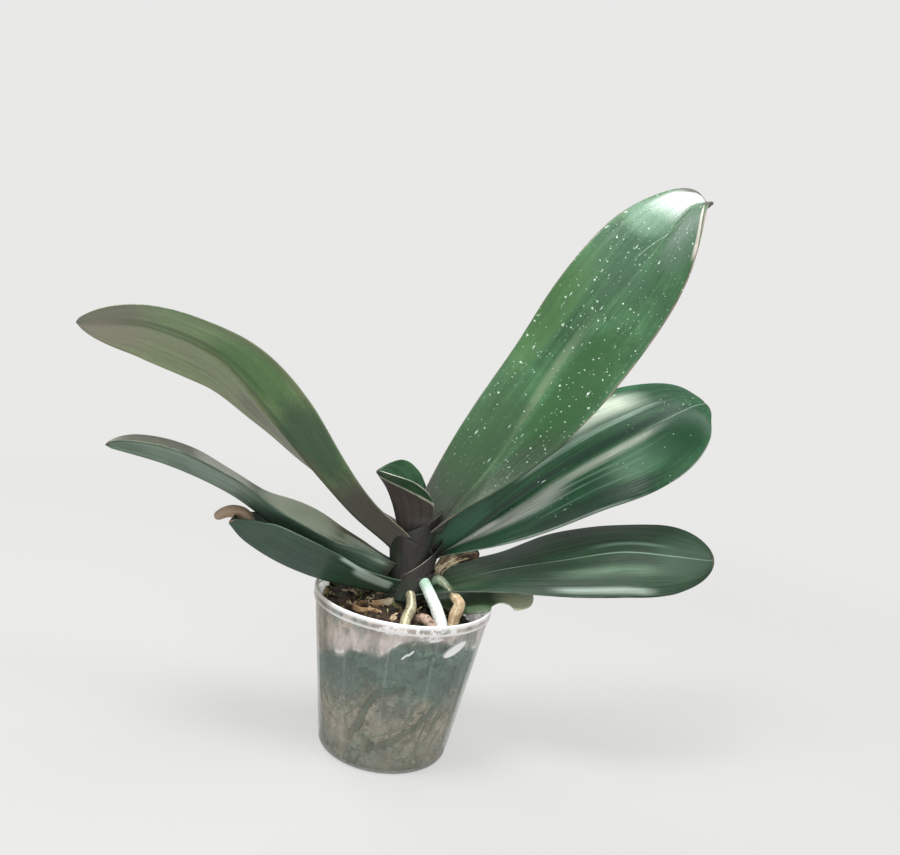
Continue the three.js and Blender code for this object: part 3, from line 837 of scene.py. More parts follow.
@dataclass(frozen=True)
class PlasticFinish:
    """Hazy clear plastic: smudged and scratched upright and lined by its mould, with painted glints on the
    mould lines, the collar's edge and the rim, and painted glare spots.
    """

    tint: Colour = (0.95, 0.97, 0.96)
    haze: Colour = (146, 164, 154)
    haze_low: Colour = (204, 196, 180)
    warm: Colour = (244, 230, 224)
    cool: Colour = (208, 212, 204)
    beige: Colour = (206, 182, 158)
    glint: Colour = (255, 255, 255)
    foot: Colour = (62, 70, 60)
    ribs: float = 12.0
    rib_turn: float = 26.0 / 360.0
    girth: float = 358.0
    height: float = 108.0
    # Painted highlights: an oblong reflection low on the front, glare along the rim and two small glints.
    spots: tuple[GlareSpot, ...] = (
        GlareSpot(-49.0, 90.0, 8.5, 3.6, 0.42),
        GlareSpot(-79.0, 104.0, 20.0, 2.8, broken_up=True),
        GlareSpot(-93.0, 102.0, 11.0, 2.4, broken_up=True),
        GlareSpot(-61.0, 104.5, 10.0, 3.0, broken_up=True),
        GlareSpot(-72.0, 99.0, 12.0, 2.4, broken_up=True),
        GlareSpot(-83.5, 86.0, 2.0, 0.8, 1.0),
        GlareSpot(-80.0, 88.5, 2.0, 0.8, 1.0),
    )

    def shine(self, s: Shader, around: Wire, up: Wire) -> Wire:
        """Returns a mask of the painted glints and glare on the wall, some broken up by noise."""
        breakup = s.noise(s.object_place(), 150.0, 4.0, 0.65).between(0.5, 0.56)
        total: Wire | float = 0.0
        for spot in self.spots:
            mask = spot.mask(around, up, self.girth, self.height)
            total = (mask * breakup if spot.broken_up else mask).math("MAXIMUM", total)
        return total

    def material(self) -> bpy.types.Material:
        """Returns the pot's material."""
        s = Shader("clear_plastic")
        around, up, band = s.place()
        where = s.object_place()
        cloud = s.noise(where, 42.0, 4.0, 0.6)
        smear = s.noise(s.join(around * 26.0, up * 2.2, 0.0), 1.0, 4.0, 0.65)
        scratch = s.noise(s.join(around * 160.0, up * 4.0, 3.0), 1.0, 2.0, 0.5)
        drops = s.cells(where, 420.0)
        left = abs(around - 0.52).between(0.24, 0.03, 0.0, 0.22)
        right = abs(abs(around - 0.5) - 0.5).between(0.2, 0.0, 0.0, 0.09)
        brink = up + (cloud - 0.5) * 0.13 + (smear - 0.5) * 0.04 + left + right
        sag = abs(around - 0.715).between(0.05, 0.0, 0.0, 0.05)
        brink = brink + (sag - abs(around - 0.8).between(0.07, 0.02, 0.0, 0.06))
        collar = brink.between(0.82, 0.88)
        # A painted glint line along the edge of the collar.
        edge = abs(brink - 0.865).between(0.014, 0.004) * smear.between(0.46, 0.64)
        # Mould lines, lightened below by painted glint.
        seam = (around * self.ribs - self.rib_turn * self.ribs).math("FRACT")
        seam = abs(seam - 0.5).between(0.474, 0.49)
        foot = up.between(0.022, 0.004)
        body = cloud.between(0.3, 0.75, 0.1, 0.28) + smear.between(0.5, 0.8, 0.0, 0.14)
        body = body + up.between(0.35, 0.6, 0.0, 0.08)
        body = body + scratch.between(0.66, 0.8, 0.0, 0.1) + drops.between(0.2, 0.1, 0.0, 0.05)
        neck = smear.between(0.35, 0.65, 0.1, 0.6) + cloud.between(0.45, 0.65, 0.0, 0.24) - left * 0.6
        haze = body * (1.0 - collar) + neck * collar + seam * 0.05 + foot * 0.5 + edge * 0.3
        side = abs(around - 0.55).between(0.09, 0.05) * collar
        # The rim band is made nearly opaque to carry its painted glint.
        haze = haze + side * 0.2 + band.between(0.75, 1.0) * 0.95
        shine = self.shine(s, around, up)
        tide = (up + (cloud - 0.5) * 0.5 + (smear - 0.5) * 0.15).between(0.3, 0.62)
        # The haze's own colour; painted glints are mixed in below.
        haze_and_glint_colour = s.blend(tide, self.haze_low, self.haze)
        haze_and_glint_colour = s.blend(collar, haze_and_glint_colour, s.blend(cloud.between(0.42, 0.58), self.cool, self.warm))
        haze_and_glint_colour = s.blend(side * 0.6, haze_and_glint_colour, self.beige)
        haze_and_glint_colour = s.blend(foot * 0.9, haze_and_glint_colour, self.foot)
        # Painted glints: white on the mould lines, the collar's edge, the rim lip and the glare spots.
        lip = band.between(0.75, 1.0) * (1.0 - side * 0.6)
        painted_glint = (seam * 0.2 + edge * 0.5 + lip * 0.9 + shine).math("MINIMUM", 1.0)
        haze_and_glint_colour = s.blend(painted_glint, haze_and_glint_colour, self.glint)
        clear = s.node("ShaderNodeBsdfTransparent", inputs={"Color": self.tint})
        normal = s.bump(cloud * 0.6 + smear * 0.4, 0.001, 0.25)
        dusty = s.surface(Base_Color=haze_and_glint_colour, Roughness=0.45, Normal=normal)
        sheen = {"Color": (1.0, 1.0, 1.0), "Roughness": 0.1, "Normal": normal}
        gloss = s.node("ShaderNodeBsdfAnisotropic", inputs=sheen)
        # The glare spots are made opaque to carry their painted highlight.
        cover = (haze + shine).math("MINIMUM", 0.97)
        wall = s.node("ShaderNodeMixShader", inputs={0: cover, 1: clear, 2: dusty})
        slant = s.node("ShaderNodeLayerWeight", inputs={"Blend": 0.5}, out="Facing")
        mixed = s.node("ShaderNodeMixShader", inputs={0: slant**5.0 * 0.5 + 0.03, 1: wall, 2: gloss})
        return s.finish(mixed)


@dataclass(frozen=True)
class HuskFinish:
    """Dry papery sheath, brown with dark cells and a cream edge."""

    dark: Colour = (52, 34, 26)
    brown: Colour = (132, 98, 70)
    cream: Colour = (226, 208, 172)

    def material(self) -> bpy.types.Material:
        """Returns the husk's material."""
        s = Shader("dry_husk")
        along, around, _ = s.place()
        where = s.object_place()
        fibre = s.noise(s.join(along * 3.0, around * 16.0, 0.0), 1.0, 4.0, 0.65)
        cloud = s.noise(where, 110.0, 4.0)
        cell = s.cells(where, 520.0)
        skin = s.blend(cloud.between(0.35, 0.6), self.dark, self.brown)
        bare = along.between(0.2, 0.36) * along.between(0.72, 0.58)
        skin = s.blend((fibre + bare * 0.12).between(0.5, 0.62), skin, self.cream)
        skin = s.shade(skin, cell.between(0.1, 0.6, 0.5, 1.2))
        normal = s.bump(fibre * 0.8 + cell * 0.3, 0.002, 0.7)
        return s.finish(s.surface(Base_Color=skin, Roughness=0.75, Normal=normal))


@dataclass(frozen=True)
class FloorFinish:
    """Plain pale matt floor that fades into the background all round."""

    colour: Colour = (0.5, 0.5, 0.497)
    near: float = 0.35
    far: float = 1.0
    weight: float = 0.33

    def material(self) -> bpy.types.Material:
        """Returns the floor's material."""
        s = Shader("pale_floor")
        x, y, _ = s.split(s.object_place())
        fade = ((x * x + y * y) ** 0.5).between(self.near, self.far, 1.0 - self.weight, 1.0)
        solid = s.surface(Base_Color=self.colour, Roughness=0.9, Specular_IOR_Level=0.1)
        clear = s.node("ShaderNodeBsdfTransparent", inputs={"Color": (1.0, 1.0, 1.0)})
        return s.finish(s.node("ShaderNodeMixShader", inputs={0: fade, 1: solid, 2: clear}))


# Leaves


@dataclass
class Bite:
    """A round bite out of a leaf, seen from above, in millimetres."""

    x: float
    y: float
    radius: float

    def first_in(self, points: Grid, probe: np.ndarray) -> float:
        """Returns the first of the probed places whose point lies in the bite, or the last place."""
        inside = np.hypot(points[:, 0] - self.x, points[:, 1] - self.y) < self.radius
        return probe[np.argmax(inside)] if inside.any() else probe[-1]


@dataclass
class Blade:
    """One leaf: its midrib, widths and angles from base to tip, in millimetres and degrees."""

    name: str
    bearing: float
    midrib: Sequence[tuple[float, float]]
    base_half: float
    half: float
    widest: float
    blunt: float
    roll: Sequence[float]
    fold: Sequence[float]
    edge: Sequence[float]
    finish: LeafFinish
    start: float = 0.0
    spread: float = 0.85
    shoulder: float = 0.55
    notch: Bite | None = None
    torn: Sequence[Bite] = ()
    torn_from: float = 0.4
    close_from: float = 0.85
    thick: float = 2.4
    thinner: float = 1.2
    groove_half: float = 1.6
    groove_deep: float = 0.5
    keel_deep: float = 0.35
    wave_length: float = 34.0
    wave_height: float = 0.7
    curl: Sequence[Point] = ()
    curl_radii: Sequence[float] = ()
    slot: str = "leaf"
    rows: int = 200
    columns: int = 22
    seed: float = 1.0

    def half_width(self, s: Grid) -> Grid:
        """Returns half the leaf's width at places along it."""
        t = np.clip(s / self.widest, 0, 1)
        rising = self.base_half + (self.half - self.base_half) * (t * t * (3 - 2 * t)) ** self.spread
        past = np.clip((s - self.widest) / (1 - self.widest), 0, 1)
        falling = np.maximum(0.35, self.half * np.clip(1 - past**self.blunt, 0, 1) ** self.shoulder)
        return np.where(s < self.widest, rising, falling)

    def frames(self, s: Grid) -> tuple[Grid, Grid, Grid]:
        """Returns the midrib's points and the directions across and out of the leaf there."""
        turned = math.radians(self.bearing)
        side = math.copysign(1, math.cos(turned))
        path = Path([bearing_point(reach, turned, z) for reach, z in self.midrib])
        centre, tangent = path.at(s)
        level = side * unit(np.cross(tangent, (0.0, 0.0, 1.0)))
        face = side * np.cross(level, tangent)
        roll = np.radians(smooth_value(self.roll, s))[..., None]
        across = level * np.cos(roll) - face * np.sin(roll)
        lift = face * np.cos(roll) + level * np.sin(roll)
        return centre, across, lift

    def middle(self, s: Grid, across: Grid) -> tuple[Grid, Grid]:
        """The leaf's middle surface.

        Args:
            s: Places along the leaf, from 0 to 1.
            across: Places across it, from -1 at the back margin to 1 at the front one.

        Returns:
            The points there, and the directions out of the upper face.
        """
        centre, outward, lift = self.frames(s)
        fold = np.radians(smooth_value(self.fold, s))
        change = np.radians(smooth_value(self.edge, s)) - fold
        change = np.where(np.abs(change) < TINY, TINY, change)
        share, hand = np.abs(across), np.sign(across)
        end = fold + change * share
        half = self.half_width(s)
        out = (half * (np.sin(end) - np.sin(fold)) / change * hand)[..., None]
        rise = (half * (np.cos(fold) - np.cos(end)) / change)[..., None]
        normal = lift * np.cos(end)[..., None] - outward * (hand * np.sin(end))[..., None]
        normal = np.where((share < TINY)[..., None], lift, normal)
        return centre + outward * out + lift * rise, normal

    def limits(self, s: Grid, across: Grid) -> tuple[Grid, Grid]:
        """Pulls places back from the leaf's notch and torn end.

        Args:
            s: Places along the leaf.
            across: Places across it.

        Returns:
            The places along and across that remain.
        """
        if self.torn:
            columns = across[0]
            probe = np.linspace(self.torn_from, 1, 240)
            ends = []
            for value in columns:
                points, _ = self.middle(probe, np.full(len(probe), value))
                ends.append(min(bite.first_in(points, probe) for bite in self.torn))
            ragged = np.array([0.006 * noise.noise(Vector((v * 9, self.seed, 0))) for v in columns])
            ends = np.minimum(np.array(ends), 0.99) + ragged
            past = np.clip((s - self.torn_from) / (1 - self.torn_from), 0, 1)
            s = s * (1 - (1 - ends[None, :]) * past)
        if self.notch:
            probe = np.linspace(0, 1, 120)
            margins = [self.middle(np.full(len(probe), place), probe)[0] for place in s[:, -1]]
            limit = np.array([self.notch.first_in(points, probe) for points in margins])
            across = np.where(across > 0, across * limit[:, None], across)
        return s, across

    def sheet(self, skin: Skin) -> None:
        """Adds the blade's closed shell to the skin."""
        even = np.linspace(0, 1, self.rows)
        tip = np.clip((even - self.close_from) / (1 - self.close_from), 0, 1)
        closing = self.close_from + (1 - self.close_from) * np.sin(tip * math.pi / 2)
        along = np.where(even < self.close_from, even, closing)
        s = self.start + (1 - self.start) * along
        u = np.linspace(0, 1, self.columns)
        shares = 1 - (1 - u) ** 1.7
        line = np.concatenate([-shares[::-1], shares[1:]])
        s, across = np.meshgrid(s, line, indexing="ij")
        share = np.abs(across)
        s, across = self.limits(s, across)
        point, normal = self.middle(s, across)
        wide = self.half_width(s)
        thick = (self.thick - self.thinner * np.sqrt(share)) * np.clip(wide / 8, 0.35, 1)
        edge = np.clip((1 - share) * np.maximum(wide, 4) / 1.1, 0, 1)
        thick = thick * np.sqrt(np.clip(1 - (1 - edge) ** 2, 0, 1)) + 0.02
        groove = np.exp(-((share * wide / self.groove_half) ** 2)) * np.clip(s / 0.2, 0, 1)
        flat = np.stack([s * 260, across * wide, np.full_like(s, 40 * self.seed)], -1)
        wave = ripple(flat, self.wave_length, self.seed)
        drift = normal * (wave * self.wave_height * share * np.clip(s * 4, 0, 1))[..., None]
        top = point + drift + normal * (thick / 2 - self.groove_deep * groove)[..., None]
        low = point + drift - normal * (thick / 2 + self.keel_deep * groove)[..., None]
        rings = np.concatenate([top, low[:, -2:0:-1]], axis=1)
        upper, lower = (np.stack(np.broadcast_arrays(s, across, under), -1) for under in (0.0, 1.0))
        skin.loft(rings, np.concatenate([upper, lower[:, -2:0:-1]], axis=1))

    def rolled_end(self, skin: Skin) -> None:
        """Adds the leaf's dried, rolled end to the skin."""
        places = close_ends(40, 0.06)
        path = Path(self.curl)
        turn = turns(28)
        radii = rounded_ends(places, smooth_value(self.curl_radii, places), path.length)
        crease = 1 - 0.22 * np.exp(-(((turn - 2.2) / 0.35) ** 2))
        flutes = 1 + 0.05 * np.sin(5 * turn[None, :] + 9 * places[:, None])
        rings = tube_rings(path, radii[:, None] * crease[None, :] * flutes, places, len(turn))
        place = np.broadcast_arrays(1.0 + places[:, None] * 0.1, turn[None, :] / math.pi - 1, 1.0)
        skin.loft(rings, np.stack(place, -1))

    def build(self) -> bpy.types.Object:
        """Returns the leaf."""
        skin = Skin()
        self.sheet(skin)
        if len(self.curl):
            self.rolled_end(skin)
        return skin.build(f"{self.name}_blade", self.finish.material())


# Stem, roots and husk


@dataclass
class Sheath:
    """A leaf base wrapped round the stem, in millimetres and degrees."""

    bearing: float
    foot: float
    top: float
    low: float
    high: float
    lean: float
    rise: float
    pale: float = 0.03
    depth: float = 0.82
    sides: int = 72
    lip: float = 0.5
    cup: float = 4.0

    def ring(self, share: float, inset: float, drop: float, turn: np.ndarray) -> Grid:
        """Returns a ring at a share of the height, set in and let down by millimetres."""
        turned = math.radians(self.bearing)
        radius = self.low + (self.high - self.low) * share - inset
        x = radius * np.cos(turn) + self.lean * share * math.cos(turned)
        y = radius * self.depth * np.sin(turn) + self.lean * share * math.sin(turned)
        slope = share * self.rise * np.cos(turn - turned)
        z = self.foot + (self.top - self.foot) * share + slope - drop
        return np.stack([x, y, np.broadcast_to(z, x.shape)], -1)

    def add_to(self, skin: Skin) -> None:
        """Adds the sheath's shell to the stem's skin."""
        turn = turns(self.sides)
        outward = circle(1.0, turn, 0.0)
        steps = [(t, 0.0, 0.0, 0.0) for t in np.linspace(0, 0.955, 14)]
        steps += [(0.985, 0.05, 0.0, 0.1), (0.997, 0.25, 0.0, 0.9), (1.0, 0.55, 0.0, 1.0)]
        steps += [(1.0, self.lip, 0.3, 0.6), (0.99, self.lip + 0.3, 1.2, 0.1)]
        steps += [(0.98, self.lip + 0.5, self.cup, 0.0)]
        rings, places = [], []
        for share, inset, drop, edge in steps:
            ring = self.ring(share, inset, drop, turn)
            fold = ripple(ring, 9, self.bearing) * 0.25
            rings.append(ring + outward * (fold * min(1.0, share * 3))[:, None])
            places.append(np.stack(np.broadcast_arrays(share, turn / FULL_TURN, edge * self.pale), -1))
        skin.loft(np.array(rings), np.array(places))


@dataclass
class Stem:
    """The short stem, wrapped in the sheathing bases of its leaves."""

    sheaths: Sequence[Sheath]
    finish: StemFinish = StemFinish()

    def build(self) -> bpy.types.Object:
        """Returns the stem."""
        skin = Skin()
        for sheath in self.sheaths:
            sheath.add_to(skin)
        return skin.build("stem_sheaths", self.finish.material())


@dataclass
class Root:
    """A root in the air: a knobbly limb with a radius for each point of its path."""

    name: str
    path: Sequence[Point]
    radii: Sequence[float]
    finish: RootFinish
    slot: str
    knobs: float = 0.07
    ridges: int = 0
    sides: int = 28
    seed: float = 3.0

    def build(self) -> bpy.types.Object:
        """Returns the root."""
        path = Path(self.path)
        places = close_ends(int(path.length / 0.6), 0.05)
        radii = rounded_ends(places, smooth_value(self.radii, places), path.length)
        rings = tube_rings(path, radii, places, self.sides)
        swell = ripple(rings, 5.0, self.seed) + 0.4 * ripple(rings, 1.8, self.seed + 1)
        turn = turns(self.sides)[None, :]
        ridge = np.sin(self.ridges * turn + 14 * places[:, None]) if self.ridges else 0.0
        shaped = radii[:, None] * (1 - self.knobs + self.knobs * (swell + ridge))
        skin = Skin()
        skin.tube(path, shaped, places, self.sides)
        return skin.build(f"{self.name}_limb", self.finish.material())


@dataclass
class SpikeHusk:
    """The dried stub of an old flower spike, in its papery sheath."""

    path: Sequence[Point]
    radii: Sequence[float]
    sides: int = 40
    finish: HuskFinish = HuskFinish()

    def build(self) -> bpy.types.Object:
        """Returns the husk."""
        path = Path(self.path)
        places = close_ends(90, 0.05)
        radii = rounded_ends(places, smooth_value(self.radii, places), path.length)
        down, turn = places[:, None], turns(self.sides)[None, :]
        bands = np.sin(down * 46) * 0.03
        flutes = 0.05 * np.sin(7 * turn + 5 * down)
        split = -0.18 * np.exp(-(((turn - 4.4) / 0.3) ** 2)) * np.clip(down * 2 - 0.7, 0, 1)
        skin = Skin()
        skin.tube(path, radii[:, None] * (0.93 + bands + flutes + split), places, self.sides)
        return skin.build("husk_sheath", self.finish.material())


# Pot, bark and the roots in it


@dataclass
class Pot:
    """The clear pot: a tapered wall with a rim band, mould ribs and a flat floor, in millimetres."""

    height: float = 108.0
    rim: float = 60.0
    base: float = 43.6
    wall: float = 1.2
    floor: float = 1.6
    band: float = 7.0
    step: float = 1.3
    ribs: int = 12
    rib_bearing: float = 26.0
    rib_height: float = 0.45
    rib_cuts: Sequence[float] = (-1.1, -0.8, -0.45, 0, 0.45, 0.8, 1.1)
    rib_clear: float = 1.4
    rib_foot: float = 4.0
    rib_top: float = 98.0
    segments: int = 180
    finish: PlasticFinish = PlasticFinish()

    def wall_radius(self, z: Grid | float) -> Grid | float:
        """Returns the wall's outer radius at a height."""
        return self.base + (self.rim - self.step - self.base) * z / (self.height - self.band)

    def inner_radius(self, z: Grid | float) -> Grid | float:
        """Returns the wall's inner radius at a height."""
        return self.wall_radius(z) - self.wall

    def profile(self) -> list[Point]:
        """Returns the wall's outline as radius, height and share of band, up and back down."""
        foot, top, rim, base = self.height - self.band, self.height, self.rim, self.base
        rows = [(6, 0, 0), (24, 0, 0), (base - 2.6, 0, 0), (base - 1.5, 0.15, 0), (base - 0.5, 0.9, 0)]
        rows += [(self.wall_radius(z), z, 0) for z in np.linspace(2.2, foot - self.step, 24)]
        rows += [(rim - 0.5, foot - 0.35, 0.5), (rim - 0.2, foot + 0.3, 1), (rim - 0.12, foot + 3, 0.7)]
        rows += [(rim, top - 1.1, 1), (rim - 0.15, top - 0.3, 1), (rim - 0.5, top, 1)]
        rows += [(rim - 0.95, top - 0.1, 1), (rim - 1.2, top - 0.6, 1), (rim - 1.35, foot + 1, 0.7)]
        rows += [(self.inner_radius(z), z, 0) for z in np.linspace(foot - self.step, self.floor + 1.2, 24)]
        return rows + [(r, self.floor, 0) for r in (self.inner_radius(self.floor) - 1.2, 24, 6)]

    def off_rib(self, bearings: np.ndarray) -> np.ndarray:
        """Returns how far bearings are from the nearest mould rib, in degrees."""
        return np.abs((bearings[:, None] - self.rib_middles() + 180) % 360 - 180).min(1)

    def rib_middles(self) -> np.ndarray:
        """Returns the bearings of the mould ribs' middles, in degrees."""
        return self.rib_bearing + np.arange(self.ribs) * 360 / self.ribs

    def build(self) -> bpy.types.Object:
        """Returns the pot's shell."""
        close = (self.rib_middles()[:, None] + np.array(self.rib_cuts)).ravel()
        even = np.arange(self.segments) * 360 / self.segments
        bearings = np.sort(np.concatenate([close % 360, even[self.off_rib(even) > self.rib_clear]]))
        off, turn = self.off_rib(bearings), np.radians(bearings)
        rings, places = [], []
        outline = self.profile()
        for index, (radius, z, band) in enumerate(outline):
            proud = self.rib_height * np.clip(1.5 - off / 0.55, 0, 1)
            proud = proud * np.clip((z - self.rib_foot) / 3, 0, 1) * np.clip((self.rib_top - z) / 2, 0, 1)
            proud = proud * (index < len(outline) // 2)
            rings.append(circle(radius + proud, turn, z))
            places.append(np.stack(np.broadcast_arrays(turn / FULL_TURN, z / self.height, band), -1))
        skin = Skin()
        skin.loft(np.array(rings), np.array(places))
        return skin.build("pot_shell", self.finish.material())


class Tree(Nodes):
    """A Geometry Nodes tree with named inputs."""

    def __init__(self, name: str) -> None:
        """Starts a tree that takes and gives geometry."""
        super().__init__(bpy.data.node_groups.new(name, "GeometryNodeTree"))
        for way in ("INPUT", "OUTPUT"):
            self.tree.interface.new_socket("Geometry", in_out=way, socket_type="NodeSocketGeometry")
        self.start = self.add("NodeGroupInput")
        self.values: dict[str, object] = {}

    def take(self, name: str, kind: str, value: object) -> bpy.types.NodeSocket:
        """Adds a named input.

        Args:
            name: The input's name.
            kind: Its socket type.
            value: What the modifier gives it.

        Returns:
            The socket inside the tree.
        """
        item = self.tree.interface.new_socket(name, in_out="INPUT", socket_type=kind)
        self.values[item.identifier] = value
        return self.start.outputs[name]

    def grow(self, carrier: bpy.types.Object, last: bpy.types.NodeSocket, name: str) -> bpy.types.Object:
        """Runs the tree on a carrier and keeps the result as a plain mesh.

        Args:
            carrier: The object whose surface the tree works on. It is removed.
            last: The socket with the finished geometry.
            name: The new piece's name.

        Returns:
            The new piece.
        """
        self.add("NodeGroupOutput", inputs={0: last})
        modifier = carrier.modifiers.new(name, "NODES")
        modifier.node_group = self.tree
        for identifier, value in self.values.items():
            modifier[identifier] = value
        evaluated = carrier.evaluated_get(bpy.context.evaluated_depsgraph_get())
        mesh = bpy.data.meshes.new_from_object(evaluated)
        carrier.modifiers.remove(modifier)
        mesh.name = name
        bpy.data.objects.remove(carrier)
        return show(name, mesh)


def scatter(
    carrier: bpy.types.Object,
    parts: bpy.types.Collection,
    material: bpy.types.Material,
    name: str,
    density: float,
    sizes: tuple[float, float],
    tilt: float,
    seed: int,
) -> bpy.types.Object:
    """Strews copies of small parts over a surface.

    Args:
        carrier: The surface. It is removed.
        parts: The small parts to choose from.
        material: Their finish.
        name: The new piece's name.
        density: Copies a square metre.
        sizes: The least and greatest scale.
        tilt: How far a copy leans off the surface, in radians.
        seed: Seed of the random values.

    Returns:
        The strewn parts as one mesh.
    """
    tree = Tree(name)
    many = tree.take("Density", "NodeSocketFloat", density)
    least = tree.take("Least size", "NodeSocketFloat", sizes[0])
    most = tree.take("Greatest size", "NodeSocketFloat", sizes[1])
    lean = tree.take("Tilt", "NodeSocketFloat", tilt)
    kind = tree.take("Parts", "NodeSocketCollection", parts)
    finish = tree.take("Finish", "NodeSocketMaterial", material)
    ground = {"Mesh": tree.start.outputs["Geometry"], "Density": many, "Seed": seed}
    spots = tree.add("GeometryNodeDistributePointsOnFaces", {"distribute_method": "RANDOM"}, ground)
    apart = {"Collection": kind, "Separate Children": True, "Reset Children": True}
    choice = tree.add("GeometryNodeCollectionInfo", inputs=apart)
    back = tree.add("ShaderNodeMath", {"operation": "MULTIPLY"}, {0: lean, 1: -1.0})
    low = tree.add("ShaderNodeCombineXYZ", inputs={0: back.outputs[0], 1: back.outputs[0], 2: 0.0})
    high = tree.add("ShaderNodeCombineXYZ", inputs={0: lean, 1: lean, 2: FULL_TURN})
    ends = {0: low.outputs[0], 1: high.outputs[0], "Seed": seed + 1}
    turn = tree.add("FunctionNodeRandomValue", {"data_type": "FLOAT_VECTOR"}, ends)
    angles = {0: spots.outputs["Rotation"], 1: turn.outputs[0]}
    pose = tree.add("FunctionNodeRotateRotation", {"rotation_space": "LOCAL"}, angles)
    number = {"data_type": "FLOAT"}
    size = tree.add("FunctionNodeRandomValue", number, {2: least, 3: most, "Seed": seed + 2})
    copies = tree.add(
        "GeometryNodeInstanceOnPoints",
        inputs={
            "Points": spots.outputs["Points"],
            "Instance": choice.outputs[0],
            "Pick Instance": True,
            "Rotation": pose.outputs[0],
            "Scale": size.outputs[1],
        },
    )
    shade = tree.add("FunctionNodeRandomValue", number, {2: 0.0, 3: 1.0, "Seed": seed + 3})
    toned = {"Geometry": copies.outputs[0], "Name": TONE, "Value": shade.outputs[1]}
    stored = tree.add("GeometryNodeStoreNamedAttribute", {**number, "domain": "INSTANCE"}, toned)
    real = tree.add("GeometryNodeRealizeInstances", inputs={0: stored.outputs[0]})
    dressing = {"Geometry": real.outputs[0], "Material": finish}
    dressed = tree.add("GeometryNodeSetMaterial", inputs=dressing)
    return tree.grow(carrier, dressed.outputs[0], name)


def small_part(name: str, size: Point, cuts: int, rough: float, seed: float) -> bpy.types.Object:
    """Makes one small broken piece to strew.

    Args:
        name: The part's name.
        size: Its length, width and thickness in millimetres.
        cuts: How finely its faces are cut.
        rough: How far its faces are pushed about, as a share of its size.
        seed: Which broken piece it is.

    Returns:
        The part, with its own place value for its grain.
    """
    noise.seed_set(BREAK_SEED)
    shape = bmesh.new()
    bmesh.ops.create_cube(shape, size=1.0)
    bmesh.ops.subdivide_edges(shape, edges=shape.edges[:], cuts=cuts, use_grid_fill=True)
    places = []
    for vert in shape.verts:
        x, y, z = vert.co
        corner = max(abs(x), abs(y)) * 2
        taper = 1 - 0.35 * corner**3 * abs(z)
        push = noise.noise_vector(Vector((x, y, z)) * 2.4 + Vector((seed, seed * 2, 0))) * rough
        pushed = (x * taper + push.x, y * taper + push.y, z + push.z)
        vert.co = Vector([value * side for value, side in zip(pushed, size)]) * MM
        places.append((x * 1.6 + seed, y * 7.0, z * 9.0))
    mesh = bpy.data.meshes.new(name)
    shape.normal_update()
    shape.to_mesh(mesh)
    shape.free()
    store_places(mesh, places)
    return bpy.data.objects.new(name, mesh)


def gather(name: str, parts: Sequence[bpy.types.Object]) -> bpy.types.Collection:
    """Returns a collection of parts that is itself not shown."""
    held = bpy.data.collections.new(name)
    for part in parts:
        held.objects.link(part)
    return held


@dataclass
class InnerRoots:
    """Roots that run out from under the stem and along the inside of the wall."""

    pot: Pot
    knot: Point = (0.0, 0.0, 66.0)
    knot_radius: float = 9.0
    radius: float = 2.1
    inset: float = 1.2
    sides: int = 16
    routes: Sequence[Sequence[tuple[float, float]]] = (
        ((-40, 66), (-44, 56), (-52, 45), (-66, 33), (-84, 22), (-104, 15)),
        ((-86, 60), (-97, 57), (-106, 45), (-112, 30), (-122, 18)),
        ((-128, 70), (-146, 62), (-160, 48), (-170, 32), (-182, 20)),
        ((-8, 70), (8, 60), (20, 44), (30, 28), (46, 16)),
        ((70, 68), (84, 58), (96, 42), (112, 30), (132, 22)),
        ((168, 72), (152, 64), (142, 50), (138, 34), (150, 18)),
    )
    finish: RootFinish = RootFinish(
        "root_in_bark", (14, 66, 38), (26, 88, 50), (10, 44, 28), (22, 76, 44), roughness=0.6,
        fine=(110, 126, 92),
    )
    rootlets: int = 34
    rootlet_seed: int = 17

    def on_wall(self, bearing: float, z: float) -> Point:
        """Returns the point of a root that lies against the wall at a bearing and height."""
        return bearing_point(self.pot.inner_radius(z) - self.inset - self.radius, math.radians(bearing), z)

    def paths(self) -> list[Path]:
        """Returns the line of each root."""
        lines = []
        for route in self.routes:
            (first, height), (second, _) = route[0], route[1]
            x, y, _ = self.on_wall(2 * first - second, height)
            bend = (x * 0.7, y * 0.7, height + 3)
            lines.append(Path([self.knot, bend, *(self.on_wall(*place) for place in route)]))
        return lines

    def add_rootlets(self, skin: Skin) -> None:
        """Adds thin roots that run down against the inside of the wall."""
        chance = np.random.default_rng(self.rootlet_seed)
        for _ in range(self.rootlets):
            bearing, z = chance.uniform(0, 360), chance.uniform(26, 82)
            drift, drop = chance.normal(0, 16), chance.uniform(14, 46)
            radius = chance.uniform(0.5, 1.5)
            points = []
            for t in np.linspace(0, 1, 6):
                angle = math.radians(bearing + drift * t * t + chance.normal(0, 1.6))
                height = max(4.0, z - drop * t)
                points.append(bearing_point(self.pot.inner_radius(height) - 0.4 - radius, angle, height))
            path = Path(points)
            places = close_ends(int(path.length / 1.6) + 8, 0.04)
            radii = rounded_ends(places, np.linspace(radius, radius * 0.55, len(places)), path.length)
            skin.tube(path, radii, places, 9, chance.uniform(0, 1))

    def build(self) -> bpy.types.Object:
        """Returns the roots in the bark."""
        skin = Skin()
        self.add_rootlets(skin)
        for number, path in enumerate(self.paths()):
            places = close_ends(int(path.length / 1.2), 0.03)
            radii = rounded_ends(places, np.full(len(places), self.radius), path.length)
            rings = tube_rings(path, radii, places, self.sides)
            shaped = radii[:, None] * (0.93 + 0.07 * ripple(rings, 6, number + 2.0))
            skin.tube(path, shaped, places, self.sides)
        up = np.linspace(-1.45, 1.45, 15)[:, None]
        ball = circle(np.cos(up), turns(24)[None, :], np.sin(up))
        skin.loft(np.array(self.knot) + ball * self.knot_radius, ball * 0.5 + 0.5)
        return skin.build("roots_in_bark", self.finish.material())


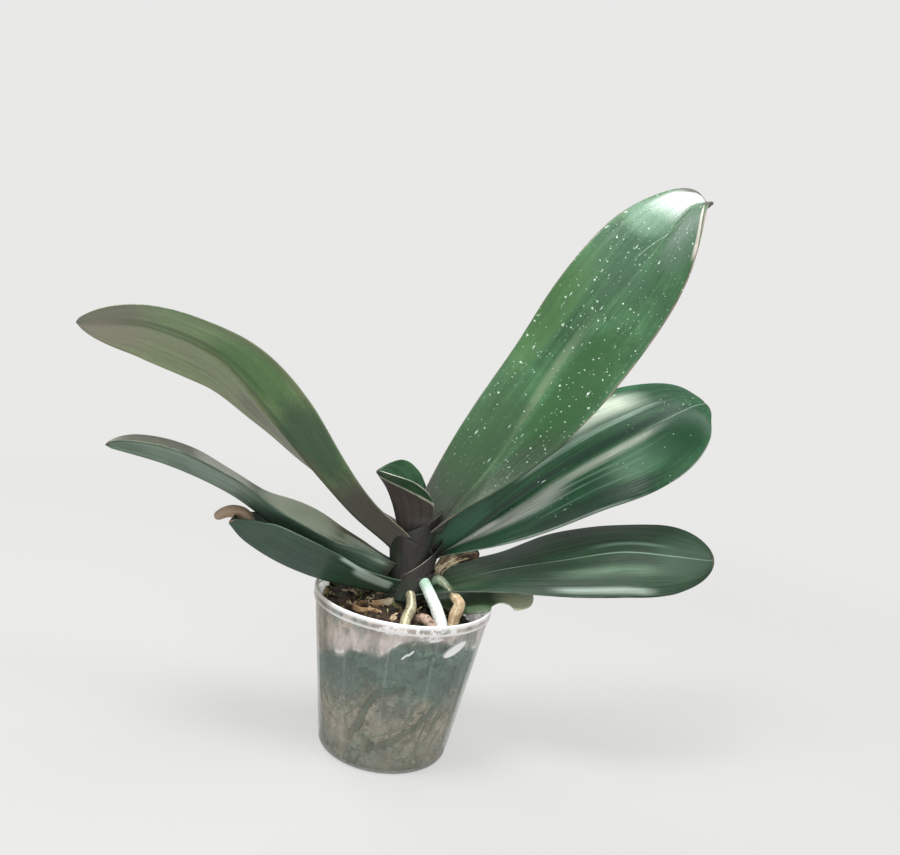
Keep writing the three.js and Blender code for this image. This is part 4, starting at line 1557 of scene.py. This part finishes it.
@dataclass
class BarkMix:
    """The bark in the pot: a packed middle with chips against the wall and over the top."""

    pot: Pot
    roots: InnerRoots
    wall_line: float = 90.0
    dome: float = 11.0
    tilt: float = 7.0
    high_bearing: float = 165.0
    wave: float = 2.4
    foot: float = 2.1
    finish: BarkFinish = BarkFinish()

    def top(self, bearing: Grid, radius: float) -> Grid:
        """Returns the height of the bark's top at bearings in radians and a radius."""
        share = radius / self.pot.inner_radius(self.wall_line)
        lean = self.tilt * share * np.cos(bearing - math.radians(self.high_bearing))
        ripples = (np.sin(3 * bearing + 0.11 * radius) + np.cos(5 * bearing - 0.23 * radius)) / 2
        return self.wall_line + lean + self.dome * (1 - share * share) + self.wave * ripples

    def core(self, name: str, sink: float, inset: float) -> bpy.types.Object:
        """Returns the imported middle, let down from the top and set in from the wall."""
        around = turns(120)
        rings = []
        for share in np.linspace(0, 1, 40):
            z = self.foot + (self.top(around, 56.0) - sink - self.foot) * share
            radius = self.pot.inner_radius(z) - inset - 0.9 * (1 + ripple(circle(50, around, z), 7, 2.0))
            rings.append(circle(radius, around, z))
        edge = self.pot.inner_radius(self.wall_line) - inset - 1
        for share in np.linspace(0.96, 0.04, 26):
            ring = circle(edge * share, around, self.top(around, edge * share) - sink)
            ring[:, 2] += 1.1 * ripple(ring, 5, 4.0)
            rings.append(ring)
        rings = np.array(rings)
        skin = Skin()
        skin.loft(rings, rings * np.array([0.12, 0.12, 0.3]))
        return skin.build(name, self.finish.material())

    def clear_roots(self, points: Grid) -> Grid:
        """Returns points pushed back behind the roots that lie against the wall."""
        reach = np.hypot(points[:, 0], points[:, 1])
        line = np.concatenate([path.at(np.linspace(0.15, 1, 120))[0] for path in self.roots.paths()])
        line = line[np.hypot(line[:, 0], line[:, 1]) > self.pot.inner_radius(line[:, 2]) - 9]
        angle = np.arctan2(points[:, 1], points[:, 0])
        limit = np.full(len(points), FAR_OFF)
        for start in range(0, len(line), 60):
            x, y, z = line[start : start + 60].T
            turn = np.angle(np.exp(1j * (angle[:, None] - np.arctan2(y, x)[None, :]))) * reach[:, None]
            off = np.hypot(turn, points[:, 2:3] - z[None, :])
            behind = np.hypot(x, y)[None, :] - 1.2
            close = np.where(off < self.roots.radius + 0.5, behind, FAR_OFF)
            limit = np.minimum(limit, close.min(1))
        return self.draw_in(points, limit)

    def draw_in(self, points: Grid, limit: np.ndarray) -> Grid:
        """Returns points drawn in towards the pot's axis as far as a limit for each."""
        factor = np.minimum(1, limit / np.maximum(np.hypot(points[:, 0], points[:, 1]), TINY))
        return points * np.stack([factor, factor, np.ones_like(factor)], -1)

    def settle(self, piece: bpy.types.Object, wall_gap: float) -> None:
        """Presses a strewn piece in behind the wall and the roots that lie against it."""

        def press(metres: Grid) -> Grid:
            """Returns the points pressed in."""
            points = self.clear_roots(metres / MM)
            points[:, 2] = np.maximum(points[:, 2], self.pot.floor + 0.3)
            return self.draw_in(points, self.pot.inner_radius(points[:, 2]) - wall_gap) * MM

        move_points(piece, press)

    def build(self) -> list[bpy.types.Object]:
        """Returns the bark's middle, its chips and its crumbs."""
        middle = self.core("bark_middle", 2.5, 2.6)
        chips = (
            ("chip_a", (13, 8, 3.4), 3, 0.17, 1.0),
            ("chip_b", (10, 7, 4.4), 3, 0.2, 5.0),
            ("chip_c", (16, 6, 2.8), 3, 0.15, 9.0),
        )
        crumbs = (("crumb_a", (4.2, 1.8, 1.2), 1, 0.22, 2.0), ("crumb_b", (2.6, 2.2, 1.6), 1, 0.24, 4.0))
        large, small = ([small_part(*row) for row in rows] for rows in (chips, crumbs))
        strands = [self.strand(number) for number in range(3)]
        kinds = (
            ("bark_chips", large, 2.0, 2.4, 26000, (0.55, 1.1), 0.45, 11, 1.5),
            ("bark_crumbs", small, 0.6, 1.2, 70000, (0.6, 1.5), 0.7, 23, 1.2),
            ("bark_moss", strands, 0.2, 3.0, 15000, (0.5, 1.25), 1.1, 37, 0.4),
        )
        bark, moss = self.finish.material(), MossFinish().material()
        pieces = [middle]
        self.settle(middle, 0.5)
        for name, parts, sink, inset, density, sizes, tilt, seed, wall_gap in kinds:
            ground = self.core(f"{name}_ground", sink, inset)
            skin = moss if name == "bark_moss" else bark
            piece = scatter(ground, gather(name, parts), skin, name, density, sizes, tilt, seed)
            self.settle(piece, wall_gap)
            pieces.append(piece)
        return pieces

    def strand(self, number: int) -> bpy.types.Object:
        """Returns one curled strand of moss, held by no collection."""
        chance = np.random.default_rng(90 + number)
        points = [
            (4.0 * t + chance.normal(0, 0.9), chance.normal(0, 1.4), 0.6 + chance.normal(0, 0.7))
            for t in range(-1, 3)
        ]
        path = Path(points)
        places = close_ends(12, 0.08)
        radii = rounded_ends(places, np.full(len(places), 0.32), path.length)
        skin = Skin()
        skin.tube(path, radii, places, 5, number)
        piece = skin.build(f"moss_strand_{number}", None)
        bpy.context.scene.collection.objects.unlink(piece)
        return piece


# Light, floor and camera


@dataclass
class Studio:
    """A pale round floor, a plain background, soft lights and the camera."""

    floor_radius: float = 1.2
    background: Colour = (0.815, 0.812, 0.806)
    ambient: float = 0.42
    ambient_tint: Colour = (0.98, 0.99, 0.97)
    focal_pixels: float = 850.0
    frame_width: float = 900.0
    sensor: float = 36.0
    camera_place: Point = (0.0, -0.55407, 0.29879)
    right: Point = (0.98831, -0.00345, 0.1524)
    up: Point = (-0.1505, 0.13691, 0.97908)
    back: Point = (-0.02424, -0.99058, 0.13479)
    aim: Point = (0.0, 0.0, 0.2)
    lamps: Sequence[tuple[str, float, float, float, float, float]] = (
        ("window_lamp", -138, 65, 1.5, 0.42, 16),
        ("top_lamp", -95, 84, 1.5, 0.9, 12),
        ("side_lamp", -30, 50, 1.5, 0.5, 7),
        ("back_lamp", 135, 40, 1.6, 0.6, 8),
        ("fill_lamp", -85, 12, 1.9, 1.5, 9),
    )

    def camera(self) -> bpy.types.Object:
        """Returns the camera at the photograph's viewing angle."""
        data = bpy.data.cameras.new("camera")
        data.sensor_fit = "HORIZONTAL"
        data.sensor_width = self.sensor
        data.lens = self.sensor * self.focal_pixels / self.frame_width
        data.clip_start = 0.01
        data.clip_end = 50.0
        camera = show("camera", data)
        turned = Matrix((self.right, self.up, self.back)).transposed()
        camera.matrix_world = Matrix.Translation(self.camera_place) @ turned.to_4x4()
        bpy.context.scene.camera = camera
        return camera

    def floor(self) -> bpy.types.Object:
        """Returns the round floor."""
        shape = bmesh.new()
        bmesh.ops.create_circle(shape, cap_ends=True, segments=96, radius=self.floor_radius)
        bmesh.ops.translate(shape, verts=shape.verts[:], vec=(0.0, 0.0, -0.0002))
        mesh = bpy.data.meshes.new("floor")
        shape.to_mesh(mesh)
        shape.free()
        mesh.materials.append(FloorFinish().material())
        return show("floor", mesh)

    def lamp(self, name: str, bearing: float, rise: float, reach: float, size: float, power: float) -> None:
        """Adds a soft square lamp that faces the plant.

        Args:
            name: The lamp's name.
            bearing: Its bearing in degrees, from +X towards +Y.
            rise: Its elevation in degrees.
            reach: Its distance in metres.
            size: Its width in metres.
            power: Its power in watts.
        """
        data = bpy.data.lights.new(name, "AREA")
        data.shape = "SQUARE"
        data.size = size
        data.energy = power
        lamp = show(name, data)
        up = math.radians(rise)
        away = Vector(bearing_point(math.cos(up), math.radians(bearing), math.sin(up)))
        place = Matrix.Translation(Vector(self.aim) + away * reach)
        lamp.matrix_world = place @ away.to_track_quat("Z", "Y").to_matrix().to_4x4()
        lamp.visible_camera = False

    def sky(self) -> None:
        """Sets the plain background, and the dimmer light that comes from all round."""
        world = bpy.data.worlds.new("sky")
        world.use_nodes = True
        tree = Nodes(world.node_tree)
        shown = tree.add("ShaderNodeBackground", inputs={"Color": self.background})
        glow = {"Color": self.ambient_tint, "Strength": self.ambient}
        ambient = tree.add("ShaderNodeBackground", inputs=glow)
        seen = tree.add("ShaderNodeLightPath").outputs["Is Camera Ray"]
        mix = {0: seen, 1: ambient.outputs[0], 2: shown.outputs[0]}
        mixed = tree.add("ShaderNodeMixShader", inputs=mix).outputs[0]
        tree.add("ShaderNodeOutputWorld", inputs={"Surface": mixed})
        bpy.context.scene.world = world

    def build(self) -> None:
        """Sets up the floor, the lamps, the background and the camera."""
        self.floor()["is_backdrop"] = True
        for lamp in self.lamps:
            self.lamp(*lamp)
        self.sky()
        bpy.context.scene.view_settings.view_transform = "Standard"
        self.camera()


# The plant


def right_leaves() -> list[Blade]:
    """Returns the four leaves on the right, highest first."""
    top = LeafFinish(
        "leaf_right_top_skin", upper=(72, 115, 77), upper_dark=(57, 91, 62), lower=(70, 92, 64),
        lower_pale=(104, 122, 100), rib=(150, 176, 138), length=330, width=40, purple=(90, 84, 84),
        purple_end=0.32, purple_full=0.4, margin=(168, 140, 134), margin_width=0.035, margin_strength=0.8,
        rib_strength=0.1, specks=0.72, roughness=0.38, coat=0.1, gloss=0.25, tip=(92, 84, 80),
        tip_start=0.98,
        bands=(
            Band((118, 138, 106), 0.16, 0.68, (0.42, -0.04, -0.12), 4.6, 0.7, 0.85, fade=0.16),
            # The next two bands are painted highlights: a thin white line along the midrib near the tip,
            # and white glare over the tip.
            Band((196, 214, 190), 0.79, 0.955, (-0.2, -0.05, 0.4), 0.7, 0.6, 0.8, fade=0.05),
            Band((226, 236, 230), 0.895, 1.05, (-0.44, -0.48, -0.53), 19.0, 1.0, 0.4, 0.5, 0.05),
            Band((236, 222, 214), 0.84, 0.97, (0.95, 0.92, 0.8), 2.2, 0.9, 0.5, fade=0.03),
            Band((92, 86, 82), 0.955, 1.06, (-1.02, -0.86, -0.6), 14.0, 0.95, 0.4, fade=0.02),
        ),
        marks=(
            Mark(0.62, -0.75, 0.22, 0.35, (100, 140, 86), 0.4),
            Mark(0.8, -0.3, 0.12, 0.8, (74, 106, 84), 0.5),
            # The next four marks are painted shade: darker green on the near half and along the groove.
            Mark(0.4, 0.72, 0.18, 0.4, (40, 76, 42), 0.7),
            Mark(0.52, 0.25, 0.16, 0.28, (40, 84, 42), 0.7),
            Mark(0.5, 0.55, 0.22, 0.5, (42, 82, 42), 0.8),
            Mark(0.26, 0.85, 0.2, 0.65, (40, 62, 38), 0.9),
            Mark(0.3, -0.4, 0.2, 0.8, (56, 84, 54), 0.7),
            Mark(0.88, 0.55, 0.09, 0.5, (78, 104, 86), 0.85),
            # Painted highlight: a pale halo round the glare at the tip.
            Mark(0.9, -0.5, 0.06, 0.6, (150, 190, 165), 0.35),
            Mark(0.975, 0.8, 0.02, 0.4, (88, 80, 76), 0.9),
            Mark(1.0, 0.3, 0.012, 1.4, (80, 72, 68), 0.95),
        ),
    )
    middle = LeafFinish(
        "leaf_right_middle_skin", upper=(48, 98, 62), upper_dark=(32, 78, 50), lower=(60, 84, 62),
        lower_pale=(96, 116, 96), rib=(214, 228, 214), length=235, width=45, purple_end=0.05,
        roughness=0.33, margin=(164, 178, 164), margin_width=0.04, margin_strength=0.7, rib_strength=0.8,
        rib_start=0.72, rib_shift=(0.0, 0.0, 0.17), specks=0.1, grain=1.4, coat=0.1, gloss=0.3,
        bands=(
            # Painted shade: a dark line in the midrib groove.
            Band((28, 58, 44), 0.1, 0.97, (-0.12, -0.06, 0.02), 5.0, 0.85, 0.8),
            # The next seven bands are painted sheen: silver streaks near the base and along both wings.
            Band((194, 196, 188), -0.1, 0.5, (-0.05, 0.32, 0.2), 12.0, 0.9, 0.8, 0.6, 0.14),
            Band((212, 222, 206), 0.34, 0.9, (0.22, 0.175, 0.14), 5.0, 0.85, 0.9, 0.5, 0.16),
            Band((132, 164, 148), 0.25, 0.85, (0.36, 0.35, 0.32), 1.1, 0.6, 0.8, 0.6),
            Band((132, 164, 148), 0.2, 0.75, (0.5, 0.46, 0.44), 1.3, 0.6, 0.8, 0.6),
            Band((120, 152, 138), 0.26, 0.7, (0.66, 0.62, 0.6), 1.2, 0.5, 0.8, 0.6),
            Band((160, 186, 168), 0.3, 0.9, (-0.38, -0.3, -0.3), 3.0, 0.8, 0.8, 0.7),
            Band((224, 236, 216), 0.47, 0.88, (-0.53, -0.6, -0.53), 13.5, 0.9, 0.85, 0.3, 0.14),
            Band((196, 210, 196), 0.12, 0.62, (0.965, 0.965, 0.965), 1.1, 0.8, 0.6),
        ),
        marks=(
            Mark(0.13, -0.5, 0.12, 0.5, (56, 100, 80), 0.7),
            Mark(0.22, -0.06, 0.26, 0.16, (50, 72, 60), 0.5),
            Mark(0.2, 0.75, 0.22, 0.35, (54, 78, 66), 0.5),
            # Painted sheen: a silver patch near the base.
            Mark(0.13, 0.2, 0.1, 0.16, (236, 236, 228), 0.75),
            Mark(0.7, 0.46, 0.15, 0.34, (90, 136, 104), 0.6),
            Mark(0.87, 0.4, 0.16, 0.6, (36, 78, 52), 0.65),
            Mark(0.5, 0.84, 0.34, 0.2, (24, 48, 34), 0.75),
        ),
    )
    low = LeafFinish(
        "leaf_right_low_skin", upper=(32, 64, 38), upper_dark=(24, 50, 30), lower=(60, 84, 62),
        lower_pale=(96, 116, 96), rib=(150, 178, 160), length=215, width=37, purple_end=0.04,
        roughness=0.46, margin=(132, 136, 128), rib_strength=0.5, rib_start=0.05,
        rib_shift=(-0.22, 0.05, 0.14), coat=0.04, gloss=0.38, grain=1.3,
        bands=(
            # The next three bands are painted sheen: on the near half, along the near margin and above the
            # midrib.
            Band((116, 148, 120), 0.4, 0.88, (0.5, 0.48, 0.48), 7.0, 0.5, 1.0, 0.5, 0.15),
            Band((188, 206, 192), 0.4, 0.82, (0.86, 0.86, 0.91), 3.8, 0.6, 0.9, 0.3),
            Band((116, 146, 130), 0.56, 0.88, (-0.12, -0.12, -0.1), 3.0, 0.55, 1.0, 0.3),
            Band((178, 188, 168), 0.05, 0.42, (-0.965, -0.965, -0.965), 1.0, 0.8, 0.6),
        ),
        marks=(
            Mark(0.14, 0.1, 0.16, 0.9, (84, 112, 84), 0.6),
            # Painted sheen: lighter green near the tip.
            Mark(0.9, 0.15, 0.12, 0.8, (86, 124, 96), 0.15),
        ),
    )
    torn = LeafFinish(
        "leaf_right_torn_skin", upper=(84, 108, 76), upper_dark=(70, 92, 66), lower=(84, 84, 60),
        lower_pale=(112, 106, 84), rib=(120, 136, 104), length=85, width=26, purple_end=0.05,
        roughness=0.45, rib_strength=0.3, tip_start=0.9, tip=(112, 104, 84),
        bands=(Band((122, 138, 106), 0.35, 0.85, (0.08, 0.05, 0.05), 1.3, 0.6),),
        marks=(Mark(0.95, 0.0, 0.36, 2.0, (222, 228, 192), 0.9, Face.BOTH),),
    )
    return [
        Blade(
            "leaf_right_top", bearing=8,
            midrib=[(8, 122), (26.5, 170.5), (56, 223), (88.5, 281), (123, 342), (149, 386), (163.5, 393)],
            base_half=19, half=40, widest=0.55, blunt=4.7, roll=(8, 42, 46, 56, 18),
            fold=(78, 36, 15, 26, 30), edge=(70, 15, -7, 12, 16), finish=top, start=0.1, rows=240,
        ),
        Blade(
            "leaf_right_middle", bearing=17,
            midrib=[(19, 133), (40, 150), (71, 177), (113, 209), (156, 238), (188, 257), (205, 261)],
            base_half=18, half=45, widest=0.7, blunt=2.8, roll=(36, 56, 52, 43, 22),
            fold=(66, 31, 25, -2, 10), edge=(50, 0, -9, -20, -12), finish=middle, seed=2.0,
        ),
        Blade(
            "leaf_right_low", bearing=6,
            midrib=[(4, 102), (24, 112), (62, 129), (105, 143), (145, 156), (180, 158), (212.5, 156)],
            base_half=13.5, half=37.3, widest=0.65, blunt=2.3, roll=(24, 14, 22, 30, 48),
            fold=(66, 20, 9, -8, 5), edge=(50, -15, -23, -29, -19), finish=low, seed=3.0,
        ),
        Blade(
            "leaf_right_torn", bearing=8,
            midrib=[(6, 101), (22, 105), (42, 112), (60, 116.7), (76, 117.4), (89, 116)], base_half=6,
            half=26, widest=0.5, blunt=6, roll=(6, 14, 10, 6, 5), fold=(60, 10, 2, 0, 0),
            edge=(40, -12, -11, -17, -15), finish=torn, spread=1.6, seed=4.0, notch=Bite(66, -18, 9),
            torn=(Bite(92, -7, 4), Bite(95, 5, 4.5), Bite(92, 17, 5)),
            rows=120,
        ),
    ]


def left_leaves() -> list[Blade]:
    """Returns the three leaves on the left and the young one in the middle."""
    top = LeafFinish(
        "leaf_left_top_skin", upper=(70, 104, 62), upper_dark=(52, 84, 50), lower=(84, 108, 76),
        lower_pale=(104, 126, 90), rib=(110, 110, 90), length=280, width=37, purple=(104, 100, 93),
        purple_end=0.36, purple_strength=1.0, purple_full=0.62, roughness=0.4, rib_strength=0.5,
        rib_half=1.0, rib_shift=(0.06, 0.06, 0.12), keel=0.09, near_wing=(144, 174, 118),
        far_wing=(160, 172, 132), wing_strength=0.85, margin=(150, 148, 122), tip=(84, 76, 68), coat=0.2,
        bands=(
            Band((124, 122, 100), 0.35, 0.8, (0.92, 0.92, 0.92), 3.5, 0.5, face=Face.LOWER),
            # Painted shade: darker olive along the crease beside the keel.
            Band((78, 90, 58), 0.5, 0.99, (0.22, 0.22, 0.2), 6.0, 0.6, 1.0, face=Face.LOWER),
            Band((96, 86, 70), 0.86, 1.05, (-0.98, -0.98, -0.98), 3.0, 0.8, 0.7, face=Face.LOWER),
        ),
        marks=(
            Mark(0.62, 0.5, 0.13, 0.5, (88, 136, 86), 0.6, Face.LOWER),
            Mark(0.4, 0.5, 0.16, 0.8, (72, 100, 80), 0.8, Face.LOWER),
            Mark(0.5, -0.45, 0.12, 0.4, (128, 122, 100), 0.7, Face.LOWER),
            Mark(0.36, -0.4, 0.1, 0.7, (128, 122, 104), 0.7, Face.LOWER),
            Mark(0.97, 0.6, 0.16, 0.9, (130, 122, 106), 0.75, Face.LOWER),
            Mark(0.97, -0.4, 0.14, 0.7, (170, 158, 140), 0.7, Face.LOWER),
        ),
    )
    middle = LeafFinish(
        "leaf_left_middle_skin", upper=(126, 136, 112), upper_dark=(104, 116, 96), lower=(84, 112, 90),
        lower_pale=(116, 142, 118), rib=(58, 76, 62), length=215, width=30, purple_end=0.06, roughness=0.38,
        margin=(54, 70, 56), margin_width=0.05, margin_strength=0.85, coat=0.2, grain=1.5,
        bands=(
            Band((142, 170, 152), 0.28, 0.8, (0.75, 0.62, 0.5), 1.5, 0.7, face=Face.LOWER),
            Band((112, 138, 124), 0.4, 0.98, (0.3, 0.4, 0.6), 3.0, 0.5, face=Face.LOWER),
            # Painted shade: a thin dark line along the far wing.
            Band((76, 92, 74), 0.05, 0.95, (-0.55, -0.45, -0.4), 2.0, 0.6, 0.8, 0.5),
            Band((212, 222, 206), -0.06, 0.2, (-0.8, -0.8, -0.74), 5.0, 0.85, 0.8, 0.6, 0.05),
            Band((98, 86, 60), 0.03, 0.34, (-0.98, -0.9, -0.8), 2.2, 0.75),
            Band((158, 178, 158), 0.02, 0.24, (-0.5, -0.6, -0.62), 1.6, 0.7),
            Band((232, 242, 224), 0.01, 0.27, (0.76, 0.82, 0.86), 6.0, 1.0, 0.8, 0.6, 0.05, Face.LOWER),
        ),
        marks=(
            Mark(0.78, -0.7, 0.28, 0.7, (136, 130, 122), 0.6),
            # The next two marks are painted sheen: pale patches on the far wing.
            Mark(0.36, -0.8, 0.18, 0.7, (196, 206, 186), 0.8),
            Mark(0.64, -0.8, 0.13, 0.8, (216, 218, 208), 0.7),
            # Painted light: lightens the near half of the lower face.
            Mark(0.3, 0.6, 0.34, 1.2, (118, 148, 130), 0.75, Face.LOWER),
        ),
    )
    low = LeafFinish(
        "leaf_left_low_skin", upper=(56, 84, 62), upper_dark=(44, 70, 54), lower=(50, 80, 62),
        lower_pale=(60, 92, 72), rib=(70, 98, 80), length=140, width=34, purple_end=0.05, roughness=0.38,
        margin=(110, 128, 112), tip=(184, 156, 130), tip_start=0.992, coat=0.2,
        bands=(
            # The next two bands are painted sheen: pale streaks near the base of the lower face.
            Band((208, 234, 222), 0.06, 0.36, (0.4, 0.64, 0.9), 10.0, 0.95, 0.8, 0.4, 0.05, Face.LOWER),
            Band((214, 236, 224), 0.07, 0.47, (0.6, 0.9, 0.97), 4.6, 1.0, 0.9, 0.3, 0.05, Face.LOWER),
        ),
        marks=(
            # Painted sheen: a pale patch near the base.
            Mark(0.12, 0.66, 0.045, 0.2, (200, 230, 214), 0.6, Face.LOWER),
            Mark(0.9, 0.6, 0.1, 0.6, (70, 92, 72), 0.5, Face.LOWER),
        ),
    )
    young = LeafFinish(
        "leaf_young_skin", upper=(52, 90, 58), upper_dark=(40, 74, 50), lower=(66, 60, 57),
        lower_pale=(84, 76, 71), rib=(84, 76, 66), length=50, width=29, purple_end=0.03, roughness=0.4,
        margin=(196, 198, 180), margin_strength=0.85, turned_in=(1.93, 1.81), coat=0.15,
    )
    return [
        Blade(
            "leaf_left_top", bearing=196,
            midrib=[
                (2, 128), (16.5, 141), (42, 159.5), (71, 186), (103, 217), (136, 247), (178, 261.5),
                (218.5, 259.5),
            ],
            base_half=18, half=37, widest=0.74, blunt=4.1, roll=(10, -18, -35, -34, -24),
            fold=(70, 31, 21, 4, 3), edge=(56, 16, 9, -13, -16), finish=top, start=0.06, shoulder=0.74,
            rows=220, seed=5.0,
        ),
        Blade(
            "leaf_left_middle", bearing=197,
            midrib=[(16, 115), (37, 123.5), (62, 132.5), (92, 149.5), (122, 168), (158, 182), (196, 190.5)],
            base_half=17, half=30, widest=0.47, blunt=4.6, roll=(-6, 10, -4, -5, -4),
            fold=(70, 53, 26, 28, 37), edge=(56, 41, 14, 18, 24), finish=middle, shoulder=0.72, seed=6.0,
        ),
        Blade(
            "leaf_left_low", bearing=202,
            midrib=[(2, 107), (24, 110), (46, 114), (68, 120), (90, 129), (110, 141), (121, 152)],
            base_half=13, half=34, widest=0.6, blunt=3.4, roll=(0, -4, -8, -8, -8),
            fold=(66, 40, 34, 34, 34), edge=(50, 40, 40, 40, 40), finish=low, seed=7.0,
            curl=((-100, -36, 149), (-107, -34, 154.5), (-116, -35, 155), (-123.5, -38, 150.5)),
            curl_radii=(3.2, 3.8, 3.7, 2.5), rows=160,
        ),
        Blade(
            "leaf_young", bearing=200, midrib=[(8, 146), (11.5, 157), (16, 168.5), (22, 179.5), (31, 190)],
            base_half=18, half=29, widest=0.5, blunt=2.4, roll=(8, 6, 11, 16, 26),
            fold=(58, 58, 56, 48, 42), edge=(58, 58, 56, 48, 42), finish=young, shoulder=0.62,
            slot="young_leaf", rows=110, seed=8.0,
        ),
    ]


def sheaths() -> list[Sheath]:
    """Returns the leaf bases round the stem, oldest first."""
    return [
        Sheath(200, 84, 110, 9, 12, 1.5, 4),
        Sheath(6, 88, 121, 9, 14, 5, 5),
        Sheath(197, 96, 127, 9.5, 12, 1, 5),
        Sheath(17, 104, 133, 13.5, 15.5, 5.5, 14, pale=1.0),
        Sheath(196, 112, 146, 10, 15, 2, 6),
        Sheath(8, 122, 157, 10, 15.5, 2, 10),
    ]


def air_roots() -> list[Root]:
    """Returns the roots in the air."""
    # The tan, arched and dry roots carry a painted highlight line along one side.
    tan = RootFinish(
        "root_tan_skin", coat=(152, 144, 118), stain=(182, 174, 140), dark=(98, 92, 74),
        start=(124, 122, 98), start_end=0.14, highlight_line=(242, 242, 200), highlight_around=0.79, highlight_half=0.05,
        highlight_strength=0.95, mottle=0.6,
    )
    white = RootFinish(
        "root_white_skin", coat=(246, 251, 249), stain=(230, 244, 237), dark=(196, 216, 204),
        start=(180, 214, 192), start_end=0.24,
    )
    arched = RootFinish(
        "root_arched_skin", coat=(214, 194, 156), stain=(188, 156, 126), dark=(138, 122, 84),
        start=(176, 208, 180), start_end=0.3, middle=(84, 90, 60), middle_from=0.3, middle_to=0.52,
        highlight_line=(246, 230, 194), highlight_around=0.9, highlight_strength=0.6, mottle=0.5,
    )
    stub = RootFinish(
        "root_stub_skin", coat=(176, 148, 130), stain=(206, 180, 162), dark=(82, 70, 46),
        start=(120, 110, 70), start_end=0.2, mottle=0.9,
    )
    dry = RootFinish(
        "root_dry_skin", coat=(132, 98, 66), stain=(176, 142, 106), dark=(70, 46, 32),
        start=(214, 198, 172), start_end=0.2, wrinkle=0.9, roughness=0.85, highlight_line=(206, 174, 134),
        highlight_around=0.75, highlight_half=0.12,
    )
    return [
        Root(
            "root_tan_front",
            path=[(2, -4, 112), (5, -13, 109), (6, -22, 105), (4, -30, 101), (3, -37, 95), (2, -42, 86)],
            radii=(3.4, 3.4, 3.7, 3.8, 3.6, 3.4), finish=tan, slot="root_tan",
        ),
        Root(
            "root_white",
            path=[
                (8, -3, 121), (12.5, -8, 118.5), (17.5, -13, 112.5), (23, -19, 105), (27, -24, 97),
                (28, -28, 88),
            ],
            radii=(4, 4, 4.1, 4.2, 4.3, 4.2), finish=white, slot="root_pale", knobs=0.04,
        ),
        Root(
            "root_tan_arched",
            path=[
                (14, 5, 115), (21, 0, 119.5), (25.5, -5.5, 119.5), (29, -9, 117), (33, -12, 114),
                (37, -16, 111), (36, -18, 106), (35, -18.5, 101), (34.5, -19, 92),
            ],
            radii=(3, 3.6, 3.4, 2.9, 3.4, 4.2, 4.3, 4.2, 4), finish=arched, slot="root_tan", knobs=0.11,
        ),
        Root(
            "root_stub", path=[(8, -17, 92), (12, -21, 98), (17, -26, 100), (21, -31, 97), (24, -36, 88)],
            radii=(3.2, 3.6, 3.8, 3.6, 3), finish=stub, slot="root_tan",
        ),
        Root(
            "root_dry",
            path=[
                (-2, -6, 106.5), (-7, -8, 103.5), (-12, -10, 101.5), (-18, -13, 101), (-24, -14, 100.5),
                (-29, -15, 100), (-30, -21, 100), (-26, -25, 100), (-19, -23, 100), (-13, -21, 98),
                (-12, -19, 93),
            ],
            radii=(2.3, 2.6, 2.7, 2.8, 2.7, 2.5, 2.4, 2.3, 2.2, 2, 1.8), finish=dry, slot="root_dry",
            knobs=0.1, ridges=5,
        ),
    ]


def keep_in_box(piece: bpy.types.Object, low: Vector, high: Vector) -> None:
    """Holds a piece's points inside the object's own box."""
    move_points(piece, lambda points: np.clip(points, np.array(low), np.array(high)))


def main() -> None:
    """Builds every piece, puts it in its node's place and reports it."""
    logging.basicConfig(level=logging.INFO, format="%(name)s: %(message)s")
    low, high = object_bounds()
    Studio().build()
    pot = Pot()
    inner = InnerRoots(pot)
    pieces: list[tuple[bpy.types.Object, str, str]] = [
        (pot.build(), "pot", "clear_plastic"),
        (inner.build(), "inner_roots", "root_in_bark"),
        (Stem(sheaths()).build(), "stem", "stem"),
    ]
    pieces += [(part, "bark_mix", "bark") for part in BarkMix(pot, inner).build()]
    grown = [*right_leaves(), *left_leaves(), *air_roots()]
    pieces += [(item.build(), item.name, item.slot) for item in grown]
    husk = SpikeHusk(
        [(12, 3, 114), (19.5, 5, 119.5), (21.5, 6, 126), (26.5, 6, 132.5), (34, 7, 137), (41, 7, 139),
         (47, 7, 138.5)],
        (2.8, 3.4, 4, 4.9, 5.4, 5.1, 3.2),
    )
    pieces.append((husk.build(), "spike_husk", "husk"))
    total = 0
    for piece, node, slot in pieces:
        keep_in_box(piece, low, high)
        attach(piece, BODY)
        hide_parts(node)
        count = sum(len(face.vertices) - 2 for face in piece.data.polygons)
        total += count
        LOG.info("%s stands for %s with %d triangles", piece.name, node, count)
    LOG.info("%d triangles in all", total)


if __name__ == "__main__":
    main()
